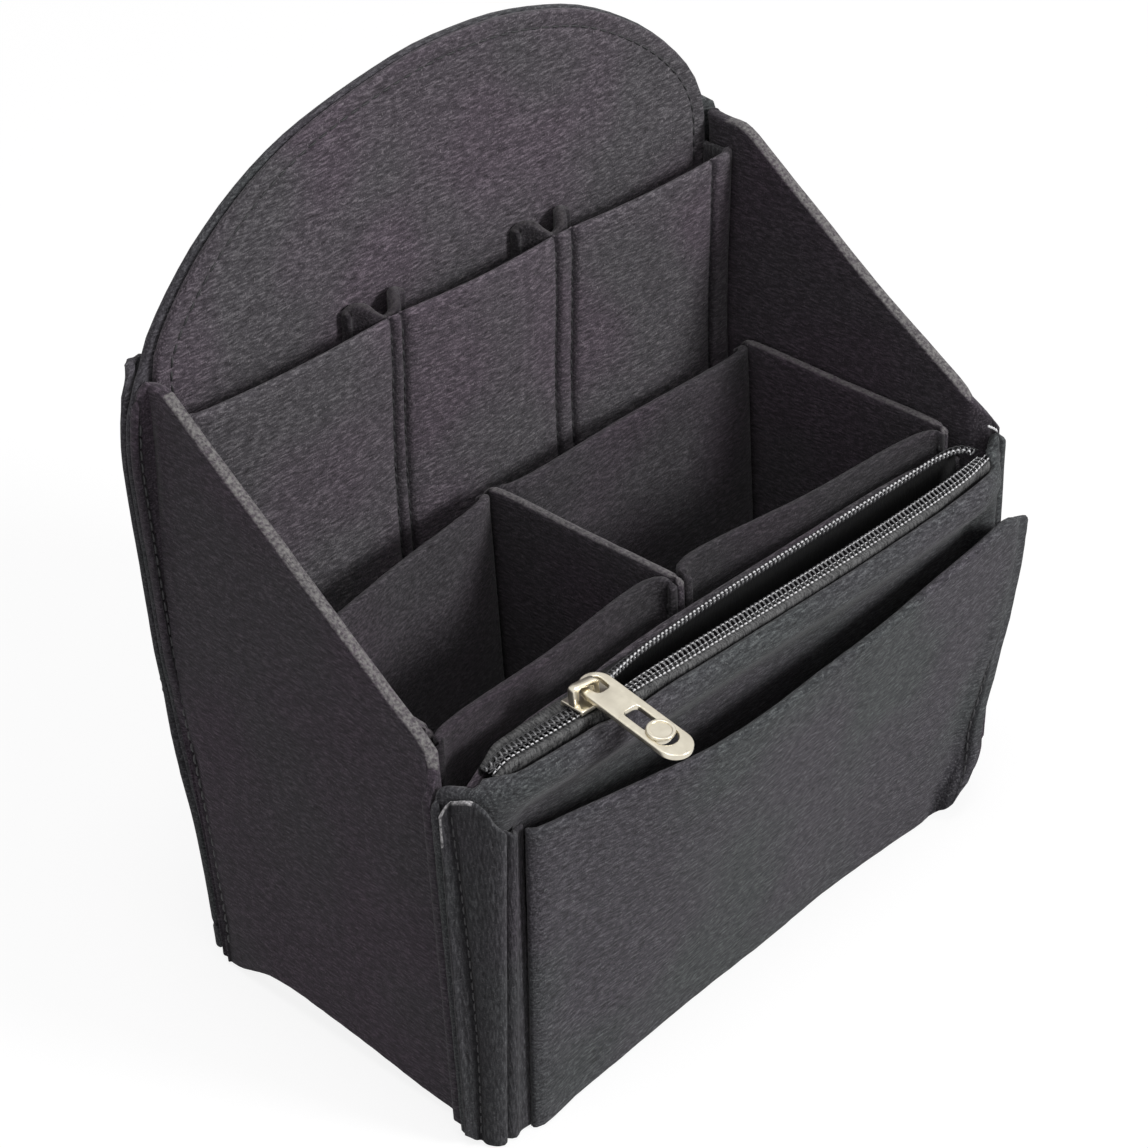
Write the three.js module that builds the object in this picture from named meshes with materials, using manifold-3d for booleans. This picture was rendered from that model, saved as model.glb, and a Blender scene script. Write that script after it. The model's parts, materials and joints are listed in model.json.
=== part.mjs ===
// A felt organizer insert for a small backpack or purse: an open box of stitched felt with a
// tall arched back, three flat inner pockets, a two-cell divider that lifts out, a zipped pouch
// along the front, a bellows pocket outside the front and a slip pocket behind the back.
// Millimetres, +Z up, the front towards -Y.
// The origin is at the middle of the bottom, on the surface that the organizer stands on.

import * as THREE from 'three';
import Module from 'manifold-3d';
import { mergeVertices } from 'three/addons/utils/BufferGeometryUtils.js';

const wasm = await Module();
wasm.setup();

// Body
const bodyWidth = 180;
const bodyDepth = 82;
const shoulderHeight = 162.5;
const frontHeight = 105;
const frontTilt = 2.1;
const wallFelt = 3.4;
const clearance = 0.3;

// Back panels
const archRise = 51.2;
const archInset = 2.5;
const archPower = 1.72;
const backFelt = 2.4;
const backBow = 4.5;
const backPocketFelt = 2.6;
const backPocketBulge = 5.4;

// Flanges, where the side panels turn out and are sewn to the back and to the front
const flangeOut = 5.2;
const frontFlangeReach = 4.5;
const foldRadius = 3;
const tuckedEdge = 3.8;
const leftFlangeCorner = 4;
const rightFlangeCorner = 16;
const rightFlangeTuck = 3;
const leftFlangeDrop = 5;
const rightFlangeDrop = 1;

// Inner pockets
const pocketTop = 155.5;
const pocketBottom = 6;
const pocketDepth = 7.9;
const pocketFelt = 2.6;
const pocketScallop = 1.4;
const gussetFelt = 1.6;
const dividerBand = 6.5;
const dividerLeftSpread = 1.4;
const dividerRightSpread = 4.6;
const dividerFoot = 4;
const dividerRise = 4.2;
const leftDividerShare = -0.28;
const rightDividerShare = 0.311;

// Divider insert
const insertFelt = 2.2;
const insertTop = 104.5;
const insertSideGap = 1.6;
const earReach = 3.5;
const frontEarReach = 2.4;
const rearLeftBehind = 32.5;
const rearMiddleBehind = 19.3;
const rearRightBehind = 16.4;
const frontLeftBefore = 0.2;
const frontMiddleInside = 7.8;
const frontRightInside = 3.4;
const frontBottomInside = 9;
const cellDividerRearShare = -0.0867;
const cellDividerFrontShare = -0.0622;

// Zip
const zipForward = 13.1;
const zipMiddleX = 0.8;
const zipEndGap = 3.4;
const zipOpening = 10.6;
const zipZ = 101.35;
const toothPitch = 1.4;
const toothWidth = 0.5;
const toothReach = 1.6;
const rootOffset = 1;
const spineWidth = 1.3;
const coilHeight = 1.5;
const tapeThickness = 0.5;
const tapeDrop = 10;
const feltBelowZip = 2.75;

// Slider
const sliderFromEnd = 31.3;
const sliderLength = 11;
const sliderPlate = 0.8;
const sliderRunning = 0.3;
const sliderWall = 0.8;
const sliderTapeSlot = 1.2;
const neckHalf = 1;
const nosePartOffset = 3;
const bridgeLegSpacing = 6.1;
const bridgeWidth = 2;
const bridgeLeg = 1.8;
const bridgeThickness = 1.1;
const bridgeHeight = 4.9;
const bridgeSlope = 0.6;

// Pull
const pullLength = 32.2;
const pullWidth = 8.6;
const pullThickness = 1.5;
const pullDroopDegrees = 10.5;
const pullHeight = 2.1;
const slotWidth = 4.2;
const slotLength = 4.9;
const slotRim = 1.6;
const windowGap = 7.7;
const windowLength = 7.4;
const windowWidth = 4.4;
const discRadius = 3.3;
const discHeight = 0.6;
const discOverlap = 1.2;
const crescentWidth = 1.4;

// Pouch and front wall
const pouchFelt = 2.2;
const pouchBottom = 12;
const frontBottomInset = 0.4;

// Front bellows pocket
const frontPocketHeight = 85;
const frontPocketFelt = 2.6;
const bellyTop = 28;
const bellyBottom = 17.4;
const pleatReach = 1.3;
const pleatFelt = 1;
const pocketFloorFelt = 1.6;

// Planes that several pieces share
const halfWidth = bodyWidth / 2;
const halfDepth = bodyDepth / 2;
const sideX = halfWidth - wallFelt / 2;
const sideInnerX = halfWidth - wallFelt;
const flangeX = sideX + flangeOut;
const liningY = halfDepth + clearance + backFelt / 2;
const backY = liningY + backFelt + clearance;
const backPocketY = backY + backFelt / 2 + clearance + backPocketFelt / 2;
const rearFlangeY = backY - backFelt / 2 - clearance - wallFelt / 2;
const frontFlangeY = -halfDepth - frontFlangeReach;
const frontPanelFlangeY = frontFlangeY - wallFelt - clearance;
const frontPocketFlangeY = frontPanelFlangeY - wallFelt / 2 - clearance - frontPocketFelt / 2;
const frontBottomY = -halfDepth + frontBottomInset;
const innerPocketY = liningY - backFelt / 2 - pocketDepth - pocketFelt / 2;
const feltTopZ = zipZ - feltBelowZip;
const zipY = -halfDepth - zipForward;
const zipHalf = sideInnerX - zipEndGap;
const sliderX = zipMiddleX - zipHalf + sliderFromEnd;

const looks = {
  felt: new THREE.MeshStandardMaterial({ color: 0x48444a, roughness: 0.95, metalness: 0 }),
  gusset: new THREE.MeshStandardMaterial({ color: 0x403d42, roughness: 0.95, metalness: 0 }),
  tape: new THREE.MeshStandardMaterial({ color: 0x222224, roughness: 0.8, metalness: 0 }),
  coil: new THREE.MeshStandardMaterial({ color: 0x17171a, roughness: 0.35, metalness: 0 }),
  metal: new THREE.MeshStandardMaterial({ color: 0xcfc8b6, roughness: 0.25, metalness: 1 }),
};

const organizer = new THREE.Group();

function addPiece(name, geometry, look) {
  geometry.computeVertexNormals();
  const mesh = new THREE.Mesh(geometry, look);
  mesh.name = name;
  organizer.add(mesh);
}

// Lists that start at 0 and end at 1, for the columns and rows of a sheet.
function even(count) {
  return Array.from({ length: count + 1 }, (unused, k) => k / count);
}

// A sheet of felt: place(u, v) gives the middle of the sheet, and both faces stand half the
// thickness off it, with closed edges all round.
function sheet(place, columns, rows, thickness) {
  const points = [];
  const triangles = [];
  const lastColumn = columns.length - 1;
  const lastRow = rows.length - 1;
  const at = (face, i, j) => (face * rows.length + j) * columns.length + i;
  for (const side of [1, -1]) {
    for (let j = 0; j <= lastRow; j += 1) {
      for (let i = 0; i <= lastColumn; i += 1) {
        const offset = normalAt(place, columns, rows, i, j);
        const middle = place(columns[i], rows[j]);
        points.push(...middle.addScaledVector(offset, (side * thickness) / 2).toArray());
      }
    }
  }
  for (let j = 0; j < lastRow; j += 1) {
    for (let i = 0; i < lastColumn; i += 1) {
      triangles.push(at(0, i, j), at(0, i + 1, j), at(0, i + 1, j + 1));
      triangles.push(at(0, i, j), at(0, i + 1, j + 1), at(0, i, j + 1));
      triangles.push(at(1, i, j), at(1, i + 1, j + 1), at(1, i + 1, j));
      triangles.push(at(1, i, j), at(1, i, j + 1), at(1, i + 1, j + 1));
    }
  }
  const rim = [];
  for (let i = 0; i < lastColumn; i += 1) rim.push([i, 0]);
  for (let j = 0; j < lastRow; j += 1) rim.push([lastColumn, j]);
  for (let i = lastColumn; i > 0; i -= 1) rim.push([i, lastRow]);
  for (let j = lastRow; j > 0; j -= 1) rim.push([0, j]);
  rim.forEach(([i, j], k) => {
    const [nextI, nextJ] = rim[(k + 1) % rim.length];
    triangles.push(at(0, nextI, nextJ), at(0, i, j), at(1, i, j));
    triangles.push(at(0, nextI, nextJ), at(1, i, j), at(1, nextI, nextJ));
  });
  const geometry = new THREE.BufferGeometry();
  geometry.setAttribute('position', new THREE.Float32BufferAttribute(points, 3));
  geometry.setIndex(triangles);
  return geometry;
}

// The direction square to a sheet at one of its grid points, from its nearest neighbours.
function normalAt(place, columns, rows, i, j) {
  const [before, after] = nearby(columns, i);
  const [below, above] = nearby(rows, j);
  const along = place(after, rows[j]).sub(place(before, rows[j]));
  const up = place(columns[i], above).sub(place(columns[i], below));
  return along.cross(up).normalize();
}

function nearby(values, k) {
  const here = values[k];
  const before = k > 0 ? here - (here - values[k - 1]) / 4 : here;
  const after = k < values.length - 1 ? here + (values[k + 1] - here) / 4 : here;
  return [before, after];
}

function smooth(points) {
  const vectors = points.map(([x, y, z]) => new THREE.Vector3(x, y, z));
  return new THREE.CatmullRomCurve3(vectors, false, 'centripetal');
}

// A surface ruled from one curve up to another; warp moves a point in Y by its height and place.
function ruled(bottom, top, warp = () => 0) {
  const low = smooth(bottom);
  const high = smooth(top);
  return (u, v) => {
    const point = low.getPoint(u).lerp(high.getPoint(u), v);
    point.y += warp(point);
    return point;
  };
}

// Heights at which the back's felt bends, shared by each sheet that follows the back.
const backHeightShares = [0, 0.15, 0.3, 0.45, 0.6, 0.75, 0.88, 0.96, 1];
const backHeights = backHeightShares.map((share) => share * shoulderHeight);
const backBowShares = [0, 0.1, 0.42, 0.84, 1, 0.74, 0.3, 0.06, 0];

function interpolate(xs, ys, x) {
  const last = xs.length - 2;
  const k = Math.max(0, Math.min(last, xs.findIndex((value) => value > x) - 1));
  const step = x >= xs[xs.length - 1] ? last : k;
  const part = THREE.MathUtils.clamp((x - xs[step]) / (xs[step + 1] - xs[step]), 0, 1);
  return THREE.MathUtils.lerp(ys[step], ys[step + 1], part);
}

// How far the back leans out at a height, over the whole width of the back.
function bowAt(z) {
  return backBow * interpolate(backHeights, backBowShares, z);
}

// Rows of a sheet from one height to another, with the back's own bends among them.
function backRows(low, high) {
  const inside = backHeights.filter((z) => z > low + clearance && z < high - clearance);
  return [low, ...inside, high].map((z) => (z - low) / (high - low));
}

// Back panels, given as [half width, height] pairs from the bottom up.
const archStepShares = [0.07, 0.2, 0.34, 0.48, 0.62, 0.74, 0.84, 0.92, 0.97];
const shoulderWidthShares = [0.972, 1, 1, 1, 1, 1, 1, 0.99, 0.965];

function archSteps(half) {
  return archStepShares.map((share) => {
    const turn = (share * Math.PI) / 2;
    const rise = archRise * Math.sin(turn) ** (2 / archPower);
    return [half * Math.cos(turn) ** (2 / archPower), shoulderHeight + rise];
  });
}

function outlinePlace(outline, depthAt) {
  const last = outline.length - 1;
  return (u, v) => {
    const step = Math.min(Math.floor(v * last), last - 1);
    const part = v * last - step;
    const half = THREE.MathUtils.lerp(outline[step][0], outline[step + 1][0], part);
    const z = THREE.MathUtils.lerp(outline[step][1], outline[step + 1][1], part);
    const x = (2 * u - 1) * half;
    return new THREE.Vector3(x, depthAt(x, z), z);
  };
}

function addBack() {
  const liningHalf = sideInnerX - clearance;
  const lining = backHeights.map((z) => [liningHalf, z]).concat(archSteps(liningHalf));
  const liningPlace = outlinePlace(lining, (x, z) => liningY + bowAt(z));
  addPiece('back_lining', sheet(liningPlace, even(2), even(lining.length - 1), backFelt), looks.felt);
  const straight = backHeights.map((z, k) => [shoulderWidthShares[k] * flangeX, z]);
  const back = straight.concat(archSteps(halfWidth - archInset));
  const backPlace = outlinePlace(back, (x, z) => backY + bowAt(z));
  addPiece('back_panel', sheet(backPlace, even(2), even(back.length - 1), backFelt), looks.felt);
}

// The slip pocket lies flat along its sewn sides and stands off the back between them.
function addBackPocket() {
  const outline = backHeights.map((z, k) => [shoulderWidthShares[k] * flangeX, z]);
  const place = outlinePlace(outline, (x, z) => {
    const across = Math.cos((Math.PI * x) / (2 * flangeX));
    const upward = Math.sin((Math.PI * z) / (2 * shoulderHeight));
    return backPocketY + bowAt(z) + backPocketBulge * across * upward;
  });
  const geometry = sheet(place, even(8), even(outline.length - 1), backPocketFelt);
  addPiece('back_pocket_panel', geometry, looks.felt);
}

// The slanted top edge of a side panel. The front stands a little higher on the right side.
function slantAt(side, y) {
  const front = frontHeight + side * frontTilt;
  const slope = (shoulderHeight - front) / (rearFlangeY - 2 * foldRadius - frontFlangeY);
  return Math.min(shoulderHeight, front + slope * (y - frontFlangeY));
}

// A side panel runs from its rear flange round a bend, along the side and out to its front flange.
function addSidePanel(name, side, corner, tuck, drop) {
  const sideDepthShares = [0.3, 0.08, -0.16, -0.38];
  const rearTopShare = 0.965;
  const stations = [
    [flangeX, rearFlangeY, leftFlangeCorner, rearTopShare * shoulderHeight],
    [sideX + flangeOut / 2, rearFlangeY, 0, shoulderHeight],
    [sideX + foldRadius / 4, rearFlangeY - foldRadius / 4, 0, shoulderHeight],
    [sideX, rearFlangeY - foldRadius, tuckedEdge / 2, shoulderHeight],
    [sideX, rearFlangeY - 2 * foldRadius, tuckedEdge, shoulderHeight - foldRadius / 4],
  ];
  sideDepthShares.forEach((share) => {
    const y = share * bodyDepth;
    stations.push([sideX, y, tuckedEdge, slantAt(side, y)]);
  });
  const turnY = -halfDepth + foldRadius;
  stations.push([sideX, turnY, tuckedEdge, slantAt(side, turnY)]);
  stations.push([sideX + foldRadius / 8, -halfDepth, tuckedEdge / 2, slantAt(side, -halfDepth)]);
  const middleY = -halfDepth - frontFlangeReach / 2;
  stations.push([sideX + flangeOut / 2, middleY, corner / 4, slantAt(side, middleY) - drop / 4]);
  stations.push([flangeX, frontFlangeY, corner, slantAt(side, frontFlangeY) - drop]);
  const lean = (x, y) => (y < 0 ? (tuck * (x - sideX)) / flangeOut : 0);
  const bottom = stations.map(([x, y, low]) => [side * (x - lean(x, y)), y, low]);
  const top = stations.map((station) => [side * station[0], station[1], station[3]]);
  const rearness = (y) => THREE.MathUtils.smoothstep(y, 0, halfDepth - 2 * foldRadius);
  const place = ruled(bottom, top, (point) => bowAt(point.z) * rearness(point.y));
  const columns = even(2 * (stations.length - 1));
  addPiece(name, sheet(place, columns, backHeightShares, wallFelt), looks.felt);
}

function addBottom() {
  const rear = liningY - backFelt / 2 - clearance;
  const front = frontBottomY + wallFelt / 2 + clearance;
  const board = new THREE.BoxGeometry(2 * (sideInnerX - clearance), rear - front, wallFelt);
  board.translate(0, (rear + front) / 2, wallFelt / 2);
  addPiece('bottom_panel', board, looks.felt);
}

// Inner pockets: one panel sewn at its ends and at two dividers, scalloped between them.
const pocketEndX = sideInnerX - clearance;
const leftDividerX = leftDividerShare * halfWidth;
const rightDividerX = rightDividerShare * halfWidth;

function addInnerPockets() {
  const bandHalf = dividerBand / 2;
  const seams = [-pocketEndX, leftDividerX - bandHalf, leftDividerX + bandHalf];
  seams.push(rightDividerX - bandHalf, rightDividerX + bandHalf, pocketEndX);
  const columns = [];
  const scallops = [];
  const partShares = [0, 0.2, 0.5, 0.8];
  for (let k = 0; k < seams.length - 1; k += 1) {
    const sewn = k % 2 === 1;
    (sewn ? [0] : partShares).forEach((share) => {
      columns.push(THREE.MathUtils.lerp(seams[k], seams[k + 1], share));
      scallops.push(sewn ? 0 : pocketScallop * Math.sin(Math.PI * share));
    });
  }
  columns.push(pocketEndX);
  scallops.push(0);
  const shares = columns.map((x) => (x + pocketEndX) / (2 * pocketEndX));
  const place = (u, v) => {
    const x = (2 * u - 1) * pocketEndX;
    const z = THREE.MathUtils.lerp(pocketBottom, pocketTop, v);
    return new THREE.Vector3(x, innerPocketY + bowAt(z) - interpolate(columns, scallops, x), z);
  };
  const geometry = sheet(place, shares, backRows(pocketBottom, pocketTop), pocketFelt);
  addPiece('inner_pocket_panel', geometry, looks.felt);
}

const pocketRearY = innerPocketY + pocketFelt / 2 + clearance;
const liningFrontY = liningY - backFelt / 2 - clearance;

// Each divider is a channel: its crown is sewn to the pocket panel and its feet to the back,
// and its top rises from the crown to the feet.
function addPocketDivider(name, middleX) {
  const crownY = pocketRearY + gussetFelt / 2;
  const footY = liningFrontY - gussetFelt / 2;
  const middleY = (footY + crownY) / 2;
  const crownHalf = dividerBand / 2;
  const left = crownHalf + dividerLeftSpread;
  const right = crownHalf + dividerRightSpread;
  const line = [[-left - dividerFoot, footY, 1], [-left - gussetFelt, footY, 1], [-left, middleY, 1 / 2]];
  line.push([-crownHalf, crownY, 0], [0, crownY, 0], [crownHalf, crownY, 0]);
  line.push([(crownHalf + right) / 2, middleY, 1 / 2], [right, footY, 1], [right + dividerFoot, footY, 1]);
  const top = pocketTop - clearance;
  const low = line.map(([x, y]) => [middleX + x, y, pocketBottom]);
  const high = line.map(([x, y, rise]) => [middleX + x, y, top + rise * dividerRise]);
  const place = ruled(low, high, (point) => bowAt(point.z));
  addPiece(name, sheet(place, even(16), backRows(pocketBottom, top), gussetFelt), looks.gusset);
}

function addPocketGusset(name, side) {
  const x = side * (pocketEndX - gussetFelt / 2);
  const top = pocketTop - clearance;
  const at = (z) => [[x, pocketRearY, z], [x, liningFrontY, z]];
  const place = ruled(at(pocketBottom), at(top), (point) => bowAt(point.z));
  addPiece(name, sheet(place, even(1), backRows(pocketBottom, top), gussetFelt), looks.gusset);
}

// Divider insert: four walls with stitched ears, two side walls and the middle divider.
// Each wall keeps its distance to the plane of the body's front or rear.
const insertRearLeft = halfDepth - rearLeftBehind;
const insertRearMiddle = halfDepth - rearMiddleBehind;
const insertRearRight = halfDepth - rearRightBehind;
const insertFrontLeft = -halfDepth - frontLeftBefore;
const insertFrontMiddle = -halfDepth + frontMiddleInside;
const insertFrontRight = -halfDepth + frontRightInside;
const insertFrontBottom = -halfDepth + frontBottomInside;
const cellDividerRearX = cellDividerRearShare * halfWidth;
const cellDividerFrontX = cellDividerFrontShare * halfWidth;
const insertBottomZ = wallFelt + clearance;
const insertSideX = sideInnerX - insertSideGap - insertFelt / 2;
const earLayer = insertFelt + clearance;
const earLength = earReach + insertFelt / 2;
const frontEarLength = frontEarReach + insertFelt / 2;

function addEaredWall(name, start, end, bottomY, ears) {
  const bend = insertFelt;
  const [[startX, startY], [endX, endY]] = [start, end];
  const outward = Math.sign(ears[0]);
  const line = (lowY) => {
    const y0 = lowY ?? startY;
    const y1 = lowY ?? endY;
    return [
      [startX, y0 + ears[0]],
      [startX, y0 + outward * bend],
      [startX + bend, y0],
      [(startX + endX) / 2, (y0 + y1) / 2],
      [endX - bend, y1],
      [endX, y1 + outward * bend],
      [endX, y1 + ears[1]],
    ];
  };
  const low = line(bottomY).map(([x, y]) => [x, y, insertBottomZ]);
  const high = line().map(([x, y]) => [x, y, insertTop]);
  const place = ruled(low, high);
  addPiece(name, sheet(place, even(12), even(2), insertFelt), looks.felt);
}

function addCrossWall(name, front, rear, frontEar) {
  const [frontX, frontY] = front;
  const [rearX, rearY] = rear;
  const lowFront = insertFrontBottom - frontEar;
  const low = [[frontX, lowFront, insertBottomZ], [rearX, rearY + earLength, insertBottomZ]];
  const high = [[frontX, frontY - frontEar, insertTop], [rearX, rearY + earLength, insertTop]];
  addPiece(name, sheet(ruled(low, high), even(1), even(2), insertFelt), looks.felt);
}

function addInsert() {
  const left = -insertSideX + earLayer;
  const right = insertSideX - earLayer;
  const rearMiddle = [cellDividerRearX, insertRearMiddle];
  const frontMiddle = [cellDividerFrontX, insertFrontMiddle];
  const beside = ([x, y], shift) => [x + shift, y];
  const rearLeft = [left, insertRearLeft];
  const rearRight = [right, insertRearRight];
  const rearEars = [earLength, earLength];
  addEaredWall('insert_rear_left_wall', rearLeft, beside(rearMiddle, -earLayer), undefined, rearEars);
  addEaredWall('insert_rear_right_wall', beside(rearMiddle, earLayer), rearRight, undefined, rearEars);
  const low = insertFrontBottom;
  const leftEars = [-frontEarLength, -earLength];
  const rightEars = [-earLength, -frontEarLength];
  const frontLeft = [left, insertFrontLeft];
  const frontRight = [right, insertFrontRight];
  addEaredWall('insert_front_left_wall', frontLeft, beside(frontMiddle, -earLayer), low, leftEars);
  addEaredWall('insert_front_right_wall', beside(frontMiddle, earLayer), frontRight, low, rightEars);
  const short = frontEarLength;
  addCrossWall('insert_left_wall', [-insertSideX, insertFrontLeft], [-insertSideX, insertRearLeft], short);
  addCrossWall('insert_right_wall', [insertSideX, insertFrontRight], [insertSideX, insertRearRight], short);
  addCrossWall('insert_divider', frontMiddle, rearMiddle, earLength);
}

// Courses of the zip in plan. Each is a list of [x, y]: the roots of the teeth run together
// through the slider's tail and part at its nose; the rims are where the tape turns down.
const openShares = [
  [-0.45, 0.47, -0.264],
  [-0.24, 0.62, -0.245],
  [0, 0.745, -0.226],
  [0.36, 0.8, -0.18],
  [0.71, 0.78, -0.057],
  [0.9, 0.69, 0.057],
  [0.975, 0.54, 0.18],
  [0.99, 0.4, 0.29],
];
const rimShares = [
  [-0.99, 0.42, -0.37],
  [-0.9, 0.46, -0.5],
  [-0.68, 0.59, -0.6],
  [-0.55, 0.61, -0.61],
  [-0.45, 0.76, -0.58],
  [-0.24, 0.93, -0.56],
  [0, 0.99, -0.52],
  [0.36, 1.06, -0.47],
  [0.71, 1.05, -0.34],
  [0.88, 0.98, -0.24],
  [0.96, 0.88, -0.15],
];
const sliderTail = sliderX - sliderLength / 2;
const sliderNose = sliderX + sliderLength / 2;

function rootCourse(side) {
  const column = side > 0 ? 1 : 2;
  const part = nosePartOffset - rootOffset;
  const course = [
    [zipMiddleX - zipHalf, zipY + side * rootOffset],
    [(zipMiddleX - zipHalf + sliderTail) / 2, zipY + side * rootOffset],
    [sliderTail, zipY + side * rootOffset],
    [sliderX - sliderLength / 10, zipY + side * rootOffset],
    [sliderX + sliderLength / 5, zipY + side * (rootOffset + part / 2)],
    [sliderNose - sliderRunning, zipY + side * nosePartOffset],
  ];
  openShares.forEach((row) => {
    course.push([zipMiddleX + row[0] * zipHalf, zipY + row[column] * zipOpening]);
  });
  return course;
}

function rimCourse(side) {
  const column = side > 0 ? 1 : 2;
  return rimShares.map((row) => [zipMiddleX + row[0] * zipHalf, zipY + row[column] * zipOpening]);
}

const flatCurve = (course) => smooth(course.map(([x, y]) => [x, y, 0]));

// The Y of a course at some X, read off its smooth curve.
function courseAt(course) {
  const points = flatCurve(course).getPoints(20 * course.length);
  const xs = points.map((point) => point.x);
  const ys = points.map((point) => point.y);
  return (x) => interpolate(xs, ys, x);
}

// One side of the coil: a spine with a comb of teeth towards the middle of the zip.
function addStrand(name, side) {
  const curve = flatCurve(rootCourse(side));
  curve.arcLengthDivisions = 1000;
  const total = curve.getLength();
  const edge = (s, offset) => {
    const share = THREE.MathUtils.clamp(s / total, 0, 1);
    const point = curve.getPointAt(share);
    const tangent = curve.getTangentAt(share);
    return new THREE.Vector2(point.x - side * offset * tangent.y, point.y + side * offset * tangent.x);
  };
  const outline = [edge(0, 0)];
  const start = toothPitch / 2 + (side > 0 ? 0 : toothPitch / 2);
  for (let s = start; s < total - toothPitch / 2; s += toothPitch) {
    outline.push(edge(s - toothWidth / 2, 0), edge(s - toothWidth / 2, -toothReach));
    outline.push(edge(s + toothWidth / 2, -toothReach), edge(s + toothWidth / 2, 0));
  }
  outline.push(edge(total, 0));
  const backSteps = Math.round(total / (2 * toothPitch));
  for (let k = backSteps; k >= 0; k -= 1) outline.push(edge((k / backSteps) * total, spineWidth));
  const shape = new THREE.Shape(side > 0 ? outline.reverse() : outline);
  const geometry = new THREE.ExtrudeGeometry(shape, { depth: coilHeight, bevelEnabled: false });
  geometry.translate(0, 0, zipZ - coilHeight / 2);
  addPiece(name, geometry, looks.coil);
}

// A tape runs flat from the coil to its rim, then down along the felt that it is sewn to.
const tapeStartX = zipMiddleX - zipHalf + spineWidth;
const tapeEndX = zipMiddleX + 0.95 * zipHalf;
const tapeLevelShares = [0, 0.34, 0.6, 1];

function addTape(name, side) {
  const rootY = courseAt(rootCourse(side));
  const rimY = courseAt(rimCourse(side));
  const columns = 60;
  const lean = (frontBottomY + zipFeltBack - rimY(0)) / feltTopZ;
  const place = (u, v) => {
    const x = THREE.MathUtils.lerp(tapeStartX, tapeEndX, u);
    const inner = rootY(x) + side * (spineWidth + 2 * clearance);
    const rim = rimY(x);
    const bend = side * tapeThickness;
    const hang = side < 0 ? rim + lean * tapeDrop : rim;
    const ys = [inner, rim - bend, rim, hang];
    const zs = [zipZ, zipZ, zipZ - tapeThickness, zipZ - tapeDrop];
    return new THREE.Vector3(x, interpolate(tapeLevelShares, ys, v), interpolate(tapeLevelShares, zs, v));
  };
  addPiece(name, sheet(place, even(columns), tapeLevelShares, tapeThickness), looks.tape);
}

// The pouch's rear panel follows the rear rim of the zip and runs down behind the front panel.
function addPouchPanel() {
  const rimY = courseAt(rimCourse(1));
  const back = tapeThickness / 2 + clearance + pouchFelt / 2;
  const endX = sideInnerX - clearance - pouchFelt / 2;
  const lowShare = 0.97;
  const lowY = frontPanelAt(pouchBottom) + wallFelt / 2 + 2 * clearance + pouchFelt / 2;
  const top = [[-endX, rimY(-endX) + back, feltTopZ]];
  rimShares.slice(1).forEach(([share]) => {
    const x = zipMiddleX + share * zipHalf;
    top.push([x, rimY(x) + back, feltTopZ]);
  });
  top.push([endX, rimY(endX) + back - clearance, feltTopZ]);
  const bottom = top.map(([x]) => [lowShare * x, lowY, pouchBottom]);
  addPiece('pouch_back_panel', sheet(ruled(bottom, top), even(18), even(3), pouchFelt), looks.felt);
}

// The front panel stands at its foot and leans out to the zip's front rim.
const frontRimY = courseAt(rimCourse(-1));
const zipFeltBack = tapeThickness / 2 + 2 * clearance + wallFelt / 2;

function frontPanelAt(z) {
  return THREE.MathUtils.lerp(frontBottomY, frontRimY(0) - zipFeltBack, z / feltTopZ);
}

// Corners of the front panel, from its sewn flange round to the front: each row is the way in
// from the flange's edge, the way forward of the flange and the height.
const leftTopCornerShares = [[0, 0, 0.94], [0.5, 0, 0.985], [0.95, 1.1, 0.995], [1.33, 2.5, 1]];
const rightTopCornerShares = [[0, 0, 1.06], [0.6, 0, 1.065], [1.2, 0.8, 1.03], [1.65, 1.8, 1]];
const leftBottomCornerShares = [[0, 0, 0.04], [0.6, -0.45, 0.01], [1.5, -1.4, 0], [2.5, -2.4, 0]];
const rightBottomCornerShares = [[0.5, 0, 0.16], [0.9, -0.3, 0.04], [1.5, -1.4, 0], [2.5, -2.4, 0]];

function frontCorner(side, rows) {
  return rows.map(([inward, forward, height]) => [
    side * (flangeX - clearance - inward * flangeOut),
    frontPanelFlangeY - forward * foldRadius,
    height * feltTopZ,
  ]);
}

function addFrontPanel() {
  const run = [-0.94, -0.8, -0.62, -0.4, -0.1, 0.2, 0.5, 0.74, 0.9];
  const bottomSpread = 0.9;
  const top = run.map((share) => {
    const x = zipMiddleX + share * zipHalf;
    return [x, frontRimY(x) - zipFeltBack, feltTopZ];
  });
  const bottom = run.map((share) => [bottomSpread * share * sideInnerX, frontBottomY, 0]);
  const tops = [...frontCorner(-1, leftTopCornerShares), ...top];
  tops.push(...frontCorner(1, rightTopCornerShares).reverse());
  const bottoms = [...frontCorner(-1, leftBottomCornerShares), ...bottom];
  bottoms.push(...frontCorner(1, rightBottomCornerShares).reverse());
  const columns = even(2 * (tops.length - 1));
  addPiece('front_panel', sheet(ruled(bottoms, tops), columns, even(4), wallFelt), looks.felt);
}

// The bellows pocket's face from its left edge to the right: the place across as a share of half
// the width and the way out as a share of the belly, first for its top and then for its bottom.
const pocketFaceShares = [
  [-0.853, 0.745, -0.878, 0.95],
  [-0.739, 0.818, -0.728, 0.84],
  [-0.528, 0.929, -0.578, 0.76],
  [-0.362, 1.01, -0.42, 0.67],
  [-0.172, 1.025, -0.22, 0.57],
  [0.122, 0.943, 0.05, 0.47],
  [0.351, 0.886, 0.3, 0.34],
  [0.6, 0.79, 0.56, 0.3],
  [0.766, 0.736, 0.74, 0.3],
  [0.9, 0.68, 0.87, 0.3],
  [0.935, 0.66, 0.92, 0.42],
];
const pocketFlangeRiseShares = [0, 0.2, 0.4, 0.6, 0.75, 0.9, 1];
const pocketFlangeWidthShares = [1, 0.7, 0.6, 0.65, 0.85, 0.96, 1];

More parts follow.
